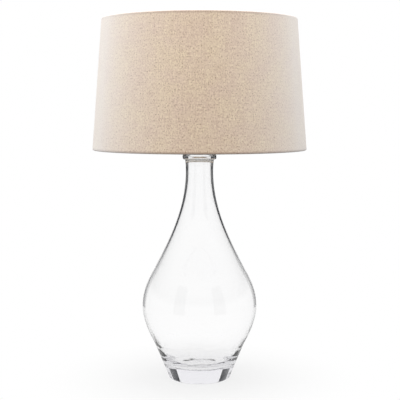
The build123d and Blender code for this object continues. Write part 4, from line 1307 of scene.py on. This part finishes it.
FLAG_TURNS = (38, 142, 218, 322)  # degrees round the lamp from the back
FLAG_SIZE = (0.3, 0.7)
FLAG_DISTANCE = 0.75

BAND_RADIUS, BAND_HEIGHT = 0.9, 1.4
BAND_SOFT_FOOT = (0.2, 0.4)  # metres up: the band darkens between these levels
BAND_SOFT_TOP = (0.42, 0.9)  # and lightens between these

# Each light's place, what it aims at, and its width and length
SIDE_LIGHT = ((-1.7, -0.2, 0.8), (0, 0, 0.55), (0.9, 1.3))
TOP_LIGHT = ((0, 0, 1.55), (0, 0, 0), (1.5, 1.5))


def reflected(tree, rays):
    """Whether a ray was reflected on its way."""
    return maths(tree, "GREATER_THAN", rays["Glossy Depth"], 0.5)


def one_wall(tree, rays):
    """Whether a ray went into the glass and out again once."""
    return maths(tree, "COMPARE", rays["Transmission Depth"], 2.0, 0.5)


def turned_back(tree, rays):
    """Whether a ray was turned back inside the wall of the glass and left it again."""
    return maths(tree, "MULTIPLY", reflected(tree, rays), one_wall(tree, rays))


def seen(tree, rays, turned, mirrored):
    """What camera, glass and metal see of the studio: whether they do, and its colour.

    They see white, but the dark room shows in what the wall of the glass turns back inside itself,
    by the share turned, and in every other reflection, by the share mirrored.
    """
    straight = maths(tree, "MAXIMUM", rays["Is Camera Ray"], rays["Is Glossy Ray"])
    looks = maths(tree, "MAXIMUM", straight, rays["Is Transmission Ray"])
    kind = mixed(tree, one_wall(tree, rays), mirrored, turned, kind="FLOAT")
    share = maths(tree, "MULTIPLY", reflected(tree, rays), kind)
    return looks, mixed(tree, share, (1, 1, 1, 1), opaque(DUSK))


def set_output(tree, kind, share, first, second):
    """Makes a mix of two shaders all that a tree shows."""
    mix = add_node(tree, "MixShader", {0: share, 1: first, 2: second})
    add_node(tree, f"Output{kind}", {"Surface": mix[0]})


def stage_tree(owner):
    """The emptied tree of a material or world, and its rays."""
    owner.use_nodes = True
    tree = owner.node_tree
    tree.nodes.clear()
    return tree, add_node(tree, "LightPath", {})


def pale_floor():
    """A matt white floor that lights itself in part, so that its shadow stays pale."""
    material = bpy.data.materials.new("pale_floor")
    tree, rays = stage_tree(material)
    place = add_node(tree, "TexCoord", {})["Object"]
    away = add_node(tree, "VectorMath", {0: place}, operation="LENGTH")[1]
    turned = ranged(tree, away, NEAR, FAR, 0.0, 0.3)
    mirrored = ranged(tree, away, NEAR, FAR, 0.15, 0.05)
    looks, tint = seen(tree, rays, turned, mirrored)
    own = ranged(tree, away, *SHADOW_REACH, FLOOR_GLOW, 1.0, interpolation_type="SMOOTHSTEP")
    # it gives the cloth little light back near the lamp, so that the shade is darker below
    returned = ranged(tree, away, *RETURN_REACH, 0.03, 0.5)
    paper = mixed(tree, rays["Is Diffuse Ray"], opaque("#CBCBCB"), returned)
    matt = add_node(tree, "BsdfDiffuse", {"Color": paper})[0]
    glow = add_node(tree, "Emission", {"Color": tint, "Strength": 1.0})[0]
    set_output(tree, "Material", maths(tree, "MULTIPLY", looks, own), matt, glow)
    return material


def studio_world(ambient):
    """White to the camera, to glass and to metal, and a plain soft light to everything else."""
    world = bpy.data.worlds.new("studio")
    bpy.context.scene.world = world
    tree, rays = stage_tree(world)
    looks, tint = seen(tree, rays, 0.2, 0.08)
    soft = add_node(tree, "Background", {"Color": (1, 1, 1, 1), "Strength": ambient})[0]
    white = add_node(tree, "Background", {"Color": tint, "Strength": 1.0})[0]
    set_output(tree, "World", looks, soft, white)


def staged(name, mesh, material):
    """Makes a bmesh an object in the scene, for the floor or a card."""
    piece = new_object(name, mesh, material)
    return piece


def hidden_card(name, mesh, shown):
    """A card of black cloth outside the picture, seen by the share that shown builds, and casting nothing."""
    material = bpy.data.materials.new(name)
    tree, rays = stage_tree(material)
    clear = add_node(tree, "BsdfTransparent", {})[0]
    dusk = add_node(tree, "Emission", {"Color": opaque(DUSK), "Strength": 1.0})[0]
    set_output(tree, "Material", shown(tree, rays), clear, dusk)
    card = staged(name, mesh, material)
    card.visible_camera = card.visible_diffuse = card.visible_shadow = False


def dark_flags():
    """Dark cards round the lamp, as glass photographers use: only the solid foot and metal show them."""
    mesh = bmesh.new()
    for turn in FLAG_TURNS:
        card = bmesh.ops.create_grid(mesh, x_segments=1, y_segments=1, size=0.5)["verts"]
        bmesh.ops.scale(mesh, verts=card, vec=(*FLAG_SIZE, 1))
        bmesh.ops.rotate(mesh, verts=card, matrix=Matrix.Rotation(pi / 2, 3, "X"))
        bmesh.ops.translate(mesh, verts=card, vec=(0, FLAG_DISTANCE, FLAG_SIZE[1] / 2))
        bmesh.ops.rotate(mesh, verts=card, matrix=Matrix.Rotation(radians(turn), 3, "Z"))

    def shown(tree, rays):
        """All but what the wall of the glass turns back, and what has been through more glass."""
        few = maths(tree, "LESS_THAN", rays["Transmission Depth"], 2.5)
        return maths(tree, "GREATER_THAN", few, turned_back(tree, rays))

    hidden_card("dark_flags", mesh, shown)


def dark_band():
    """A dark band right round the set, soft above and below, that draws the outline of the glass."""
    mesh = bmesh.new()
    bmesh.ops.create_cone(
        mesh, segments=96, radius1=BAND_RADIUS, radius2=BAND_RADIUS, depth=BAND_HEIGHT, cap_ends=False
    )
    bmesh.ops.translate(mesh, verts=mesh.verts[:], vec=(0, 0, BAND_HEIGHT / 2))

    def shown(tree, rays):
        """What the wall of the glass turns back, most between the soft foot and top."""
        place = add_node(tree, "TexCoord", {})["Object"]
        up = add_node(tree, "SeparateXYZ", {"Vector": place})[2]
        foot = ranged(tree, up, *BAND_SOFT_FOOT, 0.05, 1.0, interpolation_type="SMOOTHSTEP")
        top = ranged(tree, up, *BAND_SOFT_TOP, 1.0, 0.1)
        level = maths(tree, "MULTIPLY", foot, top)
        return maths(tree, "MULTIPLY", turned_back(tree, rays), level)

    hidden_card("dark_band", mesh, shown)


def area_light(name, power, place, aim, size):
    """A rectangular light that no reflection shows."""
    lamp = bpy.data.lights.new(name, "AREA")
    lamp.energy = power
    lamp.shape = "RECTANGLE"
    lamp.size, lamp.size_y = size
    holder = add_object(name, lamp)
    holder.location = place
    holder.rotation_euler = (Vector(aim) - Vector(place)).to_track_quat("-Z", "Y").to_euler()
    holder.visible_glossy = holder.visible_transmission = False


class LAMP_OT_stage(bpy.types.Operator):
    """Floor, light, flags and camera"""

    bl_idname = "lamp.stage"
    bl_label = "Stage"

    def execute(self, context):
        settings = context.scene.lamp_stage
        mesh = bmesh.new()
        bmesh.ops.create_grid(mesh, x_segments=1, y_segments=1, size=30)
        staged("floor", mesh, pale_floor())
        studio_world(settings.ambient)
        dark_flags()
        dark_band()
        area_light("side_light", settings.side_power, *SIDE_LIGHT)
        area_light("top_light", settings.top_power, *TOP_LIGHT)
        camera = add_object("camera", bpy.data.cameras.new("camera"))
        camera.location = (settings.camera_aside, -settings.camera_distance, settings.camera_height)
        camera.rotation_euler = (pi / 2 - settings.camera_pitch, 0, 0)
        camera.data.lens = settings.lens
        camera.data.sensor_width = 36
        camera.data.clip_end = 100
        context.scene.camera = camera
        context.scene.view_settings.view_transform = "Standard"
        return {"FINISHED"}


class LAMP_OT_frame_finishes(bpy.types.Operator):
    """Gives every node of the frame its real finish"""

    bl_idname = "lamp.frame_finishes"
    bl_label = "Frame finishes"

    def execute(self, context):
        for name, node in frame["nodes"].items():
            node.data.materials.clear()
            node.data.materials.append(FINISHES[SLOTS[name]])
        return {"FINISHED"}


SETTINGS = {
    "lamp_bottle": BottleSettings,
    "lamp_fittings": FittingSettings,
    "lamp_socket": SocketSettings,
    "lamp_shade": ShadeSettings,
    "lamp_stage": StageSettings,
}
OPERATORS = (
    LAMP_OT_stage,
    LAMP_OT_frame_finishes,
    LAMP_OT_bottle,
    LAMP_OT_neck_cap,
    LAMP_OT_harp,
    LAMP_OT_finial,
    LAMP_OT_socket,
    LAMP_OT_switch,
    LAMP_OT_bulb,
    LAMP_OT_linen,
    LAMP_OT_shade_frame,
)


class LAMP_PT_panel(bpy.types.Panel):
    """Lists the pieces of the lamp"""

    bl_label = "Lamp"
    bl_idname = "LAMP_PT_panel"
    bl_space_type = "VIEW_3D"
    bl_region_type = "UI"
    bl_category = "Lamp"

    def draw(self, context):
        for operator in OPERATORS:
            self.layout.operator(operator.bl_idname)
        for group in SETTINGS:
            settings = getattr(context.scene, group)
            box = self.layout.box()
            for name in settings.bl_rna.properties.keys():
                if name not in ("rna_type", "name"):
                    box.prop(settings, name)


def register():
    """Registers the settings, the operators and the panel."""
    for settings in SETTINGS.values():
        bpy.utils.register_class(settings)
    for name, settings in SETTINGS.items():
        setattr(bpy.types.Scene, name, PointerProperty(type=settings))
    for kind in (*OPERATORS, LAMP_PT_panel):
        bpy.utils.register_class(kind)


def unregister():
    """Takes all of that away again."""
    for kind in (LAMP_PT_panel, *reversed(OPERATORS)):
        bpy.utils.unregister_class(kind)
    for name in SETTINGS:
        delattr(bpy.types.Scene, name)
    for settings in reversed(SETTINGS.values()):
        bpy.utils.unregister_class(settings)


def main():
    """Makes the whole scene."""
    register()
    make_finishes(bpy.context.scene.lamp_shade)
    bpy.ops.lamp.stage()
    bpy.ops.lamp.frame_finishes()
    bpy.ops.lamp.bottle()
    bpy.ops.lamp.neck_cap()
    bpy.ops.lamp.harp()
    bpy.ops.lamp.finial()
    bpy.ops.lamp.socket()
    bpy.ops.lamp.switch()
    bpy.ops.lamp.bulb()
    bpy.ops.lamp.linen()
    bpy.ops.lamp.shade_frame()


if __name__ == "__main__":
    main()
